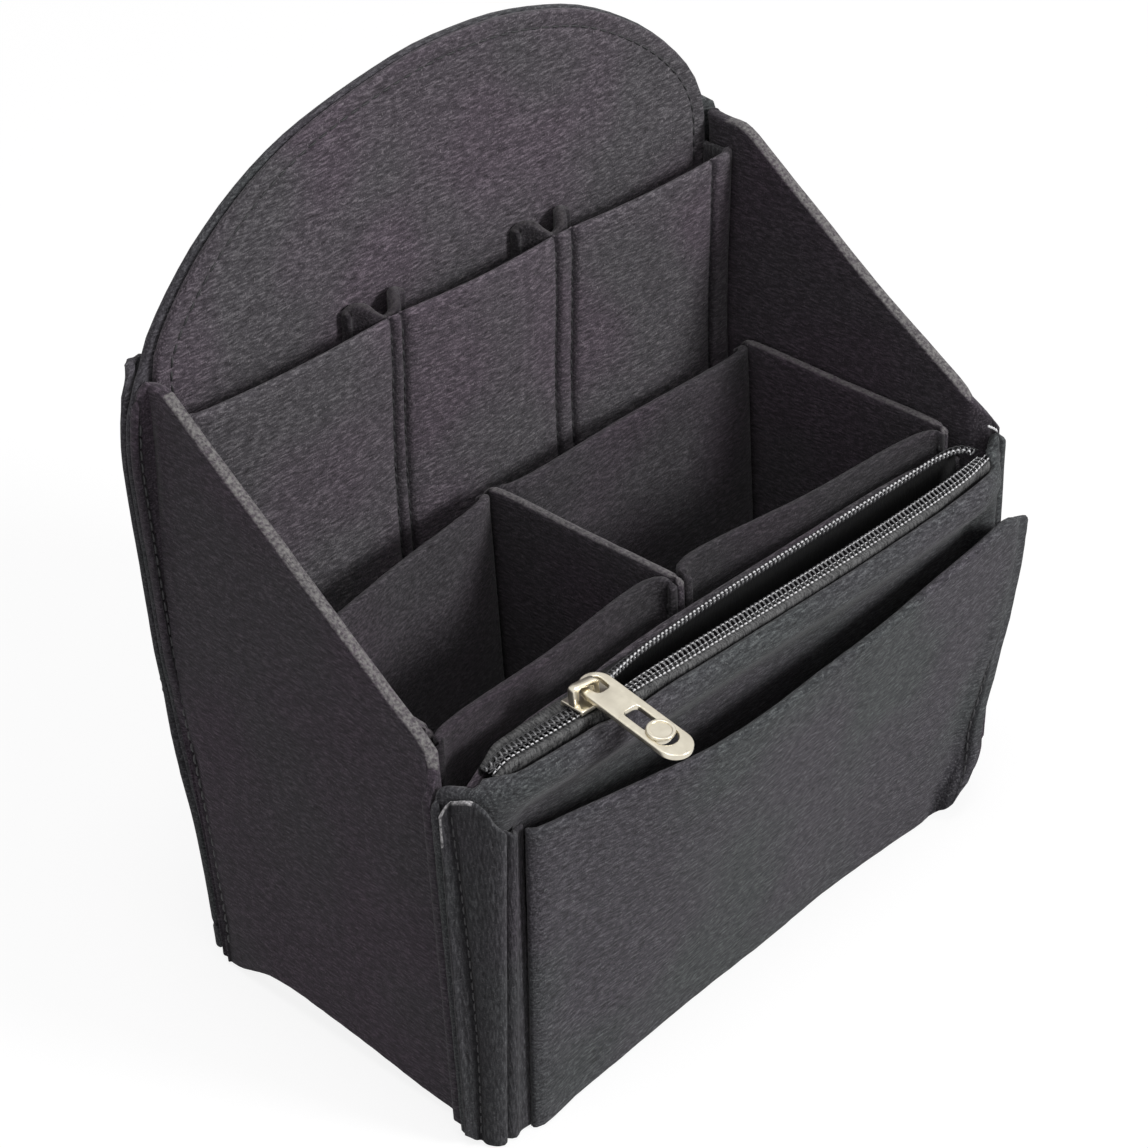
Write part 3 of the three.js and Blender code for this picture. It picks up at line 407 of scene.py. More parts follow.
# %% The sheet maker
def felt_sheet(name, place, thick, body, node, material, step=2.6, seams_u=(), seams_v=(), cut="lrbt",
               fold="", pale=None, wave=0.2, press=0.75, dent=0.0, seed=1, slot="felt", closed_top=True,
               square=0.3, lines_v=(), squeeze=None, faint=0.0):
    """A felt board along place(u, v). Seams are distances from the left or bottom side, or from the
    far side if negative. Of the sides l, r, b, t, those in cut end in a lip, the rounder the larger
    square is, and those in fold in a full round. step is the grid's pitch, wave the height of its
    slow waves, press how deep a seam is pressed, dent how far the whole sheet is pulled in there.
    pale gives the distance to a pale edge, squeeze the share of the thickness that is left, faint
    weakens a seam's dark line, and lines_v adds grid lines at distances below the top."""
    fine, half = np.linspace(0, 1, 600), np.full(600, 0.5)
    run_u, run_v = run_along(place(fine, half), 0), run_along(place(half, fine), 0)
    at_u = stations(run_u[-1], step, [s % run_u[-1] for s in seams_u], thick)
    ends_v = "lr" if closed_top else "l"
    at_v = stations(run_v[-1], step, [s % run_v[-1] for s in seams_v], thick, ends_v)
    if lines_v:
        at_v = np.unique(np.round(np.concatenate([at_v, run_v[-1] - np.array(lines_v)]), 2))
    u, v = np.meshgrid(np.interp(at_u, run_u, fine), np.interp(at_v, run_v, fine))
    middle = place(u, v)
    normal = unit(np.cross(np.gradient(middle, axis=1), np.gradient(middle, axis=0)))
    rows, columns = u.shape
    along, upward = run_along(middle, 1), run_along(middle, 0)
    gaps = {"l": along, "r": along[:, -1:] - along, "b": upward, "t": upward[-1:] - upward}
    edge = np.min([gaps[side] for side in cut], axis=0)
    def lip(side):
        """The share of the thickness near one side: it falls to least at the very edge."""
        reach, least = (0.5, 0.3) if side in fold else (square, 0.55)
        near = 1 - np.clip(gaps[side] / (reach * thick), 0, 1)
        return least + (1 - least) * np.sqrt(1 - near**2)

    depth = thick / 2 * np.min([lip(side) for side in cut], axis=0)
    depth = depth * (squeeze(middle) if squeeze else 1)
    seam = np.full(u.shape, 9.0)
    for line in seams_u:
        seam = np.minimum(seam, np.abs(gaps["l"] - line if line >= 0 else gaps["r"] + line))
    for line in seams_v:
        seam = np.minimum(seam, np.abs(gaps["b"] - line if line >= 0 else gaps["t"] + line))
    uneven = 0.85 + 0.3 * ripple(middle, 7, seed + 2)
    depth = depth - press * uneven * np.exp(-((seam / 0.7) ** 2))
    middle = middle - normal * (dent * np.exp(-((seam / 0.9) ** 2)))[..., None]
    if wave:
        calm = np.clip(edge / 6, 0, 1) * wave
        middle = middle + normal * (calm * ripple(middle, 46, seed))[..., None]
    ragged = 0.07 * ripple(middle, 2.3, seed + 5) * (edge < 0.3 * thick)
    both = [middle + normal * ((depth + ragged) * side)[..., None] for side in (1, -1)]
    index = np.arange(rows * columns).reshape(rows, columns)
    ring = np.concatenate([index[0, :-1], index[:-1, -1], index[-1, :0:-1], index[:0:-1, 0]])
    flat = middle.reshape(-1, 3)
    inner = np.stack([np.clip(ring // columns, 1, rows - 2), np.clip(ring % columns, 1, columns - 2)])
    outward = unit(flat[ring] - flat[inner[0] * columns + inner[1]])
    bulge = (0.09 if fold else 0.05) * thick * (1 + 0.6 * ripple(flat[ring], 1.9, seed + 9))[:, None]
    points = [both[0].reshape(-1, 3), both[1].reshape(-1, 3), flat[ring] + outward * bulge]
    size, count = rows * columns, len(ring)
    here, after = np.arange(count), (np.arange(count) + 1) % count
    if not closed_top:
        keep = ~((ring[here] // columns == rows - 1) & (ring[after] // columns == rows - 1))
        here, after = here[keep], after[keep]
    base = 2 * size
    faces = [grid_faces(rows, columns, 0, False), grid_faces(rows, columns, size, True),
             np.stack([ring[after], ring[here], base + here, base + after], -1),
             np.stack([base + after, base + here, size + ring[here], size + ring[after]], -1)]
    rim = (pale(gaps) if pale else np.full(u.shape, 20.0)).ravel()
    groove = seam.ravel() + faint
    marks = {"rim": np.concatenate([rim, rim, rim[ring]]),
             "seam": np.concatenate([groove, groove, np.full(count, 9.0)])}
    add_mesh(name, np.concatenate(points), np.concatenate(faces), material, body, node, marks, slot,
             weld=not closed_top)
    return {"middle": middle, "normal": normal, "gaps": gaps, "thick": thick, "press": press,
            "body": body}


def seam_line(sheet, side, distance, face=1):
    """The course of a seam on one face: points and the directions square to the felt there."""
    gap, spots, up = (sheet[key] for key in ("gaps", "middle", "normal"))
    gap = gap[side]
    if side in "bt":
        gap, spots, up = gap.T, spots.transpose(1, 0, 2), up.transpose(1, 0, 2)
    points, normals = [], []
    for g, spot, n in zip(gap, spots, up):
        if g[0] > g[-1]:
            g, spot, n = g[::-1], spot[::-1], n[::-1]
        points.append([np.interp(distance, g, spot[:, axis]) for axis in range(3)])
        normals.append([np.interp(distance, g, n[:, axis]) for axis in range(3)])
    normals = unit(np.array(normals)) * face
    return np.array(points) + normals * (sheet["thick"] / 2 - 0.8 * sheet["press"]), normals

# %% [markdown]
# ## Stitches
# The seams are sewn with thick dark thread in a lock stitch. On the felt each stitch shows as a
# short thread that dives in at both ends, with a small gap before the next. One mesh holds all
# the stitches of a sheet: a small six-sided spindle for each, laid along the seam's course.

# %% Spindles of thread along a seam
def tube_faces(first, rings, sides):
    """The faces of a closed tube, whose rings of points begin at the index first."""
    faces = []
    for row in range(rings - 1):
        for t in range(sides):
            a = first + row * sides + t
            b = first + row * sides + (t + 1) % sides
            faces.append([a, b, b + sides, a + sides])
    faces.append([first + t for t in range(sides - 1, -1, -1)])
    faces.append([first + (rings - 1) * sides + t for t in range(sides)])
    return faces


def join(parts):
    points, faces = [], []
    for verts, quads in parts:
        faces += [[len(points) + k for k in quad] for quad in quads]
        points += np.asarray(verts).tolist()
    return points, faces


def spindles(points, normals, pitch, length, radius, start, end):
    """One six-sided thread every pitch, except near the start and the end of the line."""
    sides = 6
    run = run_along(points, 0)
    centres = np.arange(start + pitch / 2, run[-1] - end - pitch / 2, pitch)
    shares = np.array([-0.5, -0.36, 0.0, 0.36, 0.5])
    widths = np.array([0.15, 0.85, 1.0, 0.85, 0.15]) * radius
    lifts = np.array([-0.9, -0.15, 0.25, -0.15, -0.9]) * radius
    at = centres[:, None] + shares[None, :] * length
    place = np.stack([np.interp(at, run, points[:, axis]) for axis in range(3)], -1)
    up = unit(np.stack([np.interp(at, run, normals[:, axis]) for axis in range(3)], -1))
    along = unit(np.gradient(place, axis=1))
    side = unit(np.cross(along, up))
    place = place + up * lifts[None, :, None]
    turns = np.arange(sides) * 2 * math.pi / sides
    ring = (side[:, :, None] * np.cos(turns)[None, None, :, None]
            + up[:, :, None] * np.sin(turns)[None, None, :, None]) * widths[None, :, None, None]
    verts = (place[:, :, None] + ring).reshape(-1, 3)
    rings = len(shares)
    faces = []
    for k in range(len(centres)):
        faces += tube_faces(k * rings * sides, rings, sides)
    return verts, faces


def stitches(name, sheet, lines, pitch=3.3, length=3.0, radius=0.38, start=2, end=2):
    """Stitches on seams that are given as side, distance from it and face of the sheet."""
    threads = [spindles(*seam_line(sheet, *line), pitch, length, radius, start, end) for line in lines]
    points, faces = join(threads)
    add_mesh(name, points, faces, thread, sheet["body"], slot="felt")


thread = two_tone_paint("dark sewing thread", 1500, (0.008, 0.008, 0.009), (0.03, 0.029, 0.032),
                        rough=0.62, bump=0.4).material
print("made", thread.name)

# %% [markdown]
# ## The body's sizes
# These are the sizes that the CAD model was built from, in millimetres, with the planes that
# several pieces share. The felt walls are 3.4 mm thick, the back and pockets are thinner. The
# back bows out at half its height, and the flanges' outline is read from the photograph.

# %% Sizes of the body
side_x, side_inner, flange_out = 88.3, 86.6, 5.2
flange_x = side_x + flange_out
half_depth, bend, gap = 41.0, 3.0, 0.3
lining_y, back_y, back_pocket_y = 42.5, 45.2, 48.0
rear_flange_y, front_flange_y, panel_flange_y, pocket_flange_y = 42.0, -45.5, -49.2, -52.5
shoulder, front_left_high = 162.5, 102.9
panel_foot_y = -40.6
bow_heights = np.array([0, .15, .3, .45, .6, .75, .88, .96, 1]) * shoulder
bow_shares = 4.5 * np.array([0, .1, .42, .84, 1, .74, .3, .06, 0])


def course_through(xs, ys):
    """A smooth function of one number through the given points."""
    xs, ys = np.array(xs, float), np.array(ys, float)
    dense_x = np.linspace(xs[0], xs[-1], 400)
    slopes = np.gradient(ys, xs)
    k = np.clip(np.searchsorted(xs, dense_x, "right") - 1, 0, len(xs) - 2)
    width = xs[k + 1] - xs[k]
    t = (dense_x - xs[k]) / width
    dense_y = ((1 + 2 * t) * (1 - t) ** 2 * ys[k] + t * (1 - t) ** 2 * width * slopes[k]
               + t * t * (3 - 2 * t) * ys[k + 1] + t * t * (t - 1) * width * slopes[k + 1])
    return lambda x: np.interp(x, dense_x, dense_y)


bow_at = course_through(bow_heights, bow_shares)


def bow(z):
    """How far the back leans out at a height."""
    return bow_at(np.clip(z, 0, shoulder))


# Half the width of the back over the flanges. The shoulders stand a little above the walls.
shoulder_top = 165.0
flange_heights = [0, 20, 46, 62, 84, 101, 116, 130, 147, 156, 162, shoulder_top]
flange_halves = [87.0, 87.2, 87.9, 88.9, 91.2, 91.7, 92.5, 93.7, 94.6, 93.6, 91.8, 88.6]
flange_half = course_through(flange_heights, flange_halves)


def pinch(x):
    """1 in the flanges, where the sewn plies are pressed together, and 0 inside the body."""
    pressed_from, ramp = 87.5, 3
    return ease((np.abs(x) - pressed_from) / ramp)


def pinched(share):
    """For the sheet maker: the thickness loses this share in the flanges."""
    return lambda points: 1 - share * pinch(points[..., 0])


print("half height: bow", round(float(bow(81.0)), 2), "flange half", round(float(flange_half(81.0)), 1))

# %% [markdown]
# ## The arched back
# The back is two plies of felt cut to a flat arch and sewn together: the seam shows 3.9 mm inside
# the lining's edge and, at the rear, 7.5 mm inside the wider back panel's. Rays from the outline
# inwards give a grid whose first lines run exactly parallel to the edge, so the lip and the seam
# keep their distance all the way round. A grid of plain rows would squeeze them together near
# the top. The real arch isn't quite even, so `arch_lift` moves it up or down by a little.

# %% Outline of the arch and the two plies
def arch_outline(half_at, arch_half, start_z):
    """Straight up to start_z, then an arch that is a little fuller than flat; evenly spaced."""
    power, rise = 1.72, 51.2
    turn = np.linspace(0.0, math.pi / 2, 160)[1:]
    wide, high = np.cos(turn) ** (2 / power), np.sin(turn) ** (2 / power)
    arch = np.stack([arch_half * wide, shoulder + rise * high], -1)
    arch = arch[arch[:, 1] > start_z + 0.2]
    straight = np.stack([half_at(np.linspace(0, start_z, 90)), np.linspace(0, start_z, 90)], -1)
    half = np.vstack([straight, arch])
    whole = np.vstack([half * [-1, 1], half[::-1][1:]])
    run = run_along(whole, 0)
    even = np.linspace(0, run[-1], 1200)
    return np.stack([np.interp(even, run, whole[:, axis]) for axis in range(2)], -1)


arch_lift = course_through(
    [-95, -87, -81, -68, -55, -42, -29, -16, -3, 10, 23, 36, 49, 62, 75, 87, 95],
    [-1, -1.5, -2.7, -2.5, -1.9, -1.9, -2.6, -3, -2.7, -1.9, -0.5, 0.5, 1.5, 1.5, 1.45, 1.4, 1.2])


def arched_place(outline, y_at):
    """Parallel to the outline within the band, then drawn together to a core line in the middle."""
    band, whole = 13.0, 75.0
    way = unit(np.gradient(outline, axis=0))
    inward = np.stack([way[:, 1], -way[:, 0]], -1)
    kernel = np.ones(25) / 25
    padded = np.pad(inward, ((12, 12), (0, 0)), "edge")
    inward = unit(np.stack([np.convolve(padded[:, axis], kernel, "valid") for axis in range(2)], -1))
    z, core_turn = outline[:, 1], 130
    core_z = np.where(z < core_turn, z, core_turn + (z - core_turn) * 0.62)
    core = np.stack([0 * z, core_z], -1)
    shares = np.linspace(0, 1, len(outline))

    def read(table, u):
        return np.stack([np.interp(u, shares, table[:, axis]) for axis in range(2)], -1)

    def place(u, v):
        edge, way_in, middle = (read(table, u) for table in (outline, inward, core))
        first = edge + way_in * np.minimum(v * whole, band)[..., None]
        rest = np.clip((v * whole - band) / (whole - band), 0, 1)[..., None]
        flat = first + (middle - (edge + way_in * band)) * rest
        x, z = flat[..., 0], flat[..., 1]
        return np.stack([x, y_at(x, z), z + ease((z - 150) / 25) * arch_lift(x)], -1)

    return place


lining_outline = arch_outline(lambda z: 86.3 + 0 * z, 86.3, shoulder)
back_outline = arch_outline(flange_half, 87.5, shoulder_top)
lining_seam, back_seam = 3.9, 7.5
lining_place = arched_place(lining_outline, lambda x, z: lining_y + bow(z))
back_place = arched_place(back_outline, lambda x, z: back_y + bow(z) - 1.8 * pinch(x))
lining = felt_sheet("back_lining_felt", lining_place, 2.4, "organizer", "back_lining", felt_inside,
                    step=3.2, seams_v=[lining_seam], cut="lrb", closed_top=False, press=0.3, faint=1.1,
                    seed=3)
back = felt_sheet("back_panel_felt", back_place, 2.4, "organizer", "back_panel", felt_x, step=3.2,
                  seams_v=[back_seam], cut="lrb", closed_top=False, seed=4, squeeze=pinched(0.33))
stitches("back_edge_stitches", lining, [("b", lining_seam, -1)], radius=0.32, start=150, end=150)
stitches("back_rear_stitches", back, [("b", back_seam, 1)])
print("arched back made")

# %% [markdown]
# ## The slip pocket behind
# A third ply reaches up to the shoulders. It is sewn down its sides and bulges a little between
# them, so that a phone or a book slides in from above.

# %% The slip pocket
def back_pocket_place(u, v):
    """It stands out most in the middle of its top, and its two top corners rise a little."""
    z = v * (shoulder + (shoulder_top - shoulder) * ease((np.abs(2 * u - 1) - 0.86) / 0.1))
    x = (2 * u - 1) * flange_half(z)
    stand = 5.4 * np.cos(math.pi * x / 190) * np.sin(math.pi * z / (2 * shoulder))
    return np.stack([x, back_pocket_y + bow(z) + stand - 2.8 * pinch(x), z], -1)


end_seam, foot_seam = 3.4, 7.0
back_pocket = felt_sheet("back_pocket_felt", back_pocket_place, 2.6, "organizer", "back_pocket_panel",
                         felt_x, step=3.0, seams_u=[end_seam, -end_seam], seams_v=[foot_seam], press=0.5,
                         seed=5, squeeze=pinched(0.3))
stitches("back_pocket_stitches", back_pocket,
         [("l", end_seam, -1), ("r", end_seam, -1), ("b", foot_seam, -1)])
print("slip pocket made")

# %% [markdown]
# ## Side panels
# Each side is one strip of thick felt. It turns out at both ends into narrow flanges that are
# sewn to the back and to the front, and its top is cut on a slant, which shows a pale edge. Its
# foot arches off the floor by a few millimetres. The front fold is sharper on the left than on
# the right, and the front flange's outer corner drops below the slant.

# %% The side panels
slant_stops = (30.4, 27.5, 24.6, 15.0, 6.5, -13.1, -31.2)
left_feet, right_foot = (3.0, 4.2, 5.1, 5.8, 5.4, 4.0, 2.1), 3.8
fold_out = (0, 0.4, 2.6, flange_out)
fold_y = {-1: (-42.4, -45.2, -46.8, -47.1), 1: (-40, -43.2, -45.6, -47.5)}
right_edge = course_through(
    [-52, -47, -41.3, -35, -28.6, -22.2, -9.4, 3.5, 16.6, 23.8, 29, 31.7, 36],
    [105.5, 108.9, 113.6, 118, 121.7, 125.5, 134.3, 143.6, 153.1, 158.4, 161.6, 162.4, shoulder])


def slant(side, y):
    """Height of the slanted top: straight on the left, a little fuller on the right."""
    if side > 0:
        return float(right_edge(y))
    slope = (shoulder - front_left_high) / (rear_flange_y - 2 * bend - front_flange_y)
    return float(np.minimum(shoulder, front_left_high + slope * (y - front_flange_y)))


def side_place(side, corner, tuck, drop):
    """Stops from back to front, each with its x, y, foot and top. At the front corner the foot is
    cut off by corner and drawn in by tuck, and the top falls by drop."""
    rear_y = rear_flange_y
    stops = [(flange_x, rear_y, 1.5, 0.965 * shoulder), (side_x + 2.6, rear_y, 0, shoulder),
             (side_x + 0.75, rear_y - 0.75, 0, shoulder), (side_x, rear_y - bend, 0.2, shoulder),
             (side_x, rear_y - 2 * bend, 0.8, shoulder - 0.3)]
    feet = left_feet if side < 0 else (right_foot,) * len(slant_stops)
    stops += [(side_x, y, foot, slant(side, y)) for y, foot in zip(slant_stops, feet)]
    feet, falls = (1.5, 1.0, corner / 4, corner), (0, 0.1, 0.35, 1)
    stops += [(side_x + out, y, foot, slant(side, y) - drop * fall)
              for y, out, foot, fall in zip(fold_y[side], fold_out, feet, falls)]
    low = [[x - (tuck * (x - side_x) / flange_out if y < 0 else 0), y, foot]
           for x, y, foot, top in stops]
    high = [[x, y, top] for x, y, foot, top in stops]

    def warp(points):
        x, y, z = points[..., 0], points[..., 1], points[..., 2]
        rearness = ease(y / (half_depth - 2 * bend))
        reach = (flange_half(z) - side_x) / flange_out
        x = np.where((x > side_x) & (y > 0), side_x + (x - side_x) * np.maximum(reach, 0.12), x)
        y = y + bow(z) * rearness - 0.6 * pinch(x) * np.sign(y) * ((y > 0) | (side < 0))
        x = x - 0.6 * ease((35 - z) / 35) * ease((y - 25) / 12)
        if side > 0:
            x = x - 2.5 * ease((40 - z) / 35) * ease((-y - 36) / 7)
        return np.stack([side * x, y, z], -1)

    surface = ruled(low, high, warp)
    return (lambda u, v: surface(1 - u, v)) if side > 0 else surface


flange_seam = 3.0
for name, side, corner, tuck, drop in (("left", -1, 4, 0, 8), ("right", 1, 16, 5, 5.2)):
    front_end, rear_end = ("r", "l") if side < 0 else ("l", "r")

    def slanted_part(gaps, front_end=front_end, rear_end=rear_end):
        """The distance to the pale top edge, made far where the top belongs to a flange."""
        return gaps["t"] + 20 * (gaps[front_end] < 7) + 20 * (gaps[rear_end] < 12)

    # The side panels take a darker copy of the felt, as painted shade.
    panel = felt_sheet(f"{name}_side_felt", side_place(side, corner, tuck, drop), 3.4, "organizer",
                       f"{name}_side_panel", felt_y, step=2.4, seams_u=[flange_seam, -flange_seam],
                       press=0.6, seed=11 + side, square=0.22, pale=slanted_part, squeeze=pinched(0.3))
    lines = [(end, flange_seam, face) for end in "lr" for face in (1, -1)]
    stitches(f"{name}_side_stitches", panel, lines, start=6, end=5)
print("side panels made")

# %% [markdown]
# ## Bottom and inner pockets
# The bottom is a plain board of felt between the walls. The inner pocket panel is sewn to the
# back at its ends and along two narrow channels, and it bellies out between them. A channel is a
# strip of felt folded to a small box, whose crown stands up behind the panel's top edge.

# %% The bottom
def bottom_place(u, v):
    half_width, front_y, depth, middle_z = 84.6, -38.6, 79.6, 1.7
    return np.stack([(2 * u - 1) * half_width, front_y + depth * v, middle_z + 0 * u], -1)


felt_sheet("bottom_felt", bottom_place, 3.4, "organizer", "bottom_panel", felt_x, step=4, wave=0, seed=6)
print("bottom made")

# %% The inner pockets with their channels
pocket_end, pocket_y, pocket_foot, band_half = 86.3, 32.1, 6, 3.25
divider_x = (-25.2, 28.0)
sewn = [-pocket_end, divider_x[0] - band_half, divider_x[0] + band_half, divider_x[1] - band_half,
        divider_x[1] + band_half, pocket_end]


def pocket_belly(x):
    """How far the panel stands out between its seams."""
    total = 0 * x
    for k in (0, 2, 4):
        share = np.clip((x - sewn[k]) / (sewn[k + 1] - sewn[k]), 0, 1)
        total = total + 1.4 * np.sin(math.pi * share)
    return total


def inner_pocket_place(u, v):
    """Both ends turn back to the side walls; the left one also starts a little further in."""
    x, z = (2 * u - 1) * pocket_end + 0.9 * (1 - u) ** 8, pocket_foot + 149.5 * v
    left_turn, right_turn = (x + pocket_end - 1) / 1.6, (x - pocket_end) / 1.6
    turned_back = 1.3 * (np.exp(-(left_turn**2)) + np.exp(-(right_turn**2)))
    return np.stack([x, pocket_y + bow(z) - pocket_belly(x) + turned_back, z], -1)


right_seam = 8.3
channel_seams = [x + pocket_end for x in (-27.0, -23.5, 25.3, 30.7)]
inner_pocket = felt_sheet("inner_pocket_felt", inner_pocket_place, 2.6, "organizer",
                          "inner_pocket_panel", felt_inside, step=2.8,
                          seams_u=[-right_seam, *channel_seams], seed=7, wave=0.35, fold="lrt",
                          press=0.9, dent=0.5)
stitches("inner_pocket_stitches", inner_pocket,
         [("r", right_seam, 1), *[("l", seam, 1) for seam in channel_seams]], pitch=3.0, length=2.7,
         radius=0.3)


def channel_place(middle_x):
    """Points across the channel are x, y and how much the top rises there."""
    crown, foot, rise = 35.2, 39.7, 2.6
    middle_y = (crown + foot) / 2
    line = [(-8.6, foot, 0.7), (-6.6, foot, 1.2), (-4.5, middle_y, 1.3), (-2.6, crown, 0.5),
            (0, crown, -0.3), (2.6, crown, 0.4), (4.6, middle_y, 1.1), (6.4, foot, 1.0), (9.2, foot, 0.4)]

    def warp(points):
        return points + np.stack([0 * points[..., 0], bow(points[..., 2]), 0 * points[..., 0]], -1)

    return ruled([[middle_x + x, y, pocket_foot] for x, y, up in line],
                 [[middle_x + x, y, 155.2 + up * rise] for x, y, up in line], warp)


# The channels' felt is darkened, as painted shade below their crowns.
for name, x in zip(("left", "right"), divider_x):
    felt_sheet(f"{name}_channel_felt", channel_place(x), 2.9, "organizer", f"{name}_pocket_divider",
               felt_folded, step=1.3, wave=0, seed=8, slot="gusset", fold="t",
               pale=lambda gaps: gaps["t"] + 0.1)
for name, side in (("left", -1), ("right", 1)):
    def gusset_place(u, v, side=side):
        z = pocket_foot + 149.2 * v
        return np.stack([side * 85.5 + 0 * u, 33.7 + 7.0 * u + bow(z), z], -1)

    felt_sheet(f"{name}_end_gusset_felt", gusset_place, 1.6, "organizer", f"{name}_pocket_gusset",
               felt_thin, step=2.4, wave=0, seed=9, slot="gusset", fold="t")
print("pockets made")

# %% [markdown]
# ## The divider that lifts out
# A loose H of thinner felt makes two cells. Its walls end in small ears that are sewn to the side
# walls and to the middle divider, and the ears stand out a few millimetres at each corner. The
# front walls lie in the zip pouch's shade, which is painted into their felt as its darkest tone,
# and the other walls' felt is darkened less, as painted shade of the cells.

# %% The insert
insert_low, insert_top, insert_side_x, ear_layer = 3.7, 104.5, 83.9, 2.5
ear, short_ear = 4.6, 1.6
rear_middle, front_middle = (-7.8, 21.7), (-5.6, -33.2)
rear_left, rear_right = (-insert_side_x, 8.5), (insert_side_x, 24.6)
front_left, front_right = (-insert_side_x, -37.4), (insert_side_x, -37.6)
front_left_ear, front_foot_y = (-85.4, -41.2), -32


def eared_place(start, end, low_y, ears):
    """A wall from start to end with an ear at each end; its foot may stand at another y."""
    fold = 2.2

    def line(y0, y1):
        outward = math.copysign(fold, ears[0])
        return [(start[0], y0 + ears[0]), (start[0], y0 + outward), (start[0] + fold, y0),
                ((start[0] + end[0]) / 2, (y0 + y1) / 2), (end[0] - fold, y1), (end[0], y1 + outward),
                (end[0], y1 + ears[1])]

    low = line(start[1], end[1]) if low_y is None else line(low_y, low_y)
    sags = [2.2, 0.5, 0, 0, 0, 0.5, 2.2]
    return ruled([[x, y, insert_low] for x, y in low],
                 [[x, y, insert_top - sag] for (x, y), sag in zip(line(start[1], end[1]), sags)])


def cross_place(front, rear, front_ear):
    """A wall that runs from the front to the rear, as long as its ears reach."""
    def line(start, end):
        return [start, start + 1.6, start + 4, (start + end) / 2, end - 4, end - 1.6, end]

    sags = [2.0, 0.4, 0, 0, 0, 0.4, 2.0]
    shares = np.linspace(0, 1, 7)
    xs = [front[0] + (rear[0] - front[0]) * share for share in shares]
    low = [[x, y, insert_low] for x, y in zip(xs, line(front_foot_y - front_ear, rear[1] + ear))]
    high = line(front[1] - front_ear, rear[1] + ear)
    return ruled(low, [[x, y, insert_top - sag] for x, y, sag in zip(xs, high, sags)])


def beside(spot, way):
    """The place one layer of felt away from a wall, where an ear lies on it."""
    return spot[0] + way * ear_layer, spot[1]


walls = {
    "insert_rear_left_wall": eared_place(beside(rear_left, 1), beside(rear_middle, -1), None, (ear, ear)),
    "insert_rear_right_wall": eared_place(beside(rear_middle, 1), beside(rear_right, -1), None, (ear, ear)),
    "insert_front_left_wall": eared_place(front_left_ear, beside(front_middle, -1), front_foot_y,
                                          (-short_ear, -ear)),
    "insert_front_right_wall": eared_place(beside(front_middle, 1), beside(front_right, -1),
                                           front_foot_y, (-ear, -short_ear)),
    "insert_left_wall": cross_place(front_left, rear_left, short_ear),
    "insert_right_wall": cross_place(front_right, rear_right, short_ear),
    "insert_divider": cross_place(front_middle, rear_middle, ear),
}
ear_seam = 2.3
for seed, (node, place) in enumerate(walls.items()):
    # Painted shade: the rear and cross walls take darker felt, and the front walls the darkest, for the
    # shade in the cells and under the pouch.
    felt = felt_loose if "rear" in node else felt_painted_shade if "front" in node else felt_y
    wall = felt_sheet(f"{node}_felt", place, 2.4, "insert", node, felt, seams_u=[ear_seam, -ear_seam],
                      press=0.45, seed=20 + seed, fold="lr",
                      pale=(lambda gaps: gaps["t"] + 0.22) if felt is felt_y else None)
    lines = [(end, ear_seam, face) for end in "lr" for face in (1, -1)]
    stitches(f"{node}_stitches", wall, lines, pitch=3.0, length=2.5, radius=0.3)
print("insert:", len(walls), "walls")

# %% [markdown]
# ## The zip's courses
# In plan the two sides of the zip run together at the left, part inside the slider and open to
# the right. Both the coil and the tape follow these courses. Each row of the tables is a station:
# its place along half the zip, and how far the rear and the front side lie from the middle line
# there, in shares of the widest opening. `open_shares` is where the coils' roots run, `rim_shares`
# the rims of the felt, and `turn_shares` where the front tape turns down, just outside the
# slider's wall and close to the open coil.

# %% Courses in plan
zip_y, zip_middle, zip_half, zip_open, zip_z = -54.1, 0.8, 83.2, 10.6, 101.35
slider_x, slider_length = -51.1, 11.0
felt_top, zip_felt_back = 98.6, 2.55
open_shares = [(-.45, .47, -.264), (-.24, .62, -.245), (0, .745, -.226), (.36, .83, -.18), (.71, .9, -.057),
               (.9, .95, .07), (.945, .94, .13), (.975, .83, .17), (.988, .64, .2), (.99, .44, .22)]
rim_shares = [(-.99, .42, -.37), (-.9, .46, -.5), (-.68, .59, -.6), (-.55, .61, -.61), (-.45, .76, -.58),
              (-.24, .93, -.56), (0, .99, -.52), (.36, 1.07, -.47), (.71, 1.13, -.34), (.88, 1.12, -.24),
              (.96, 1.06, -.15)]
turn_shares = [(-.99, .36), (-.9, .365), (-.72, .37), (-.64, .385), (-.6, .5), (-.575, .595), (-.545, .6),
               (-.5, .53), (-.42, .47), (-.24, .46), (0, .445), (.36, .4), (.71, .26), (.88, .11),
               (.96, .01), (1.01, -.04)]


def zip_x(share):
    return zip_middle + share * zip_half


def side_points(rows, side):
    """One side's points of a table with both sides."""
    column = 1 if side > 0 else 2
    return [(zip_x(row[0]), zip_y + row[column] * zip_open) for row in rows]


def root_course(side):
    """Together at the left, apart round the wedge inside the slider, then open as the table says."""
    start, tail = zip_x(-1), slider_x - slider_length / 2
    spots = [(start, 1), ((start + tail) / 2, 1), (tail, 1), (slider_x - 1.1, 1), (slider_x + 2.2, 2),
             (slider_x + 5.2, 3)]
    return [(x, zip_y + side * out) for x, out in spots] + side_points(open_shares, side)


def y_along(line):
    """y as a function of x on a smooth course through the points."""
    dense = course([(x, y, 0) for x, y in line])(np.linspace(0, 1, 800))
    order = np.maximum.accumulate(dense[:, 0])
    return lambda x: np.interp(x, order, dense[:, 1])


root_y = {side: y_along(root_course(side)) for side in (1, -1)}
rim_y = {side: y_along(side_points(rim_shares, side)) for side in (1, -1)}
front_turn = y_along([(zip_x(share), zip_y - out * zip_open) for share, out in turn_shares])
print("opening at the middle", round(float(root_y[1](0) - root_y[-1](0)), 1), "mm")


def tilt(x):
    """How far a strand has turned its outer edge down: flat where the zip is closed."""
    return math.radians(40) * ease((x + 45.6) / 20) * (1 - ease((x - 70) / 13))


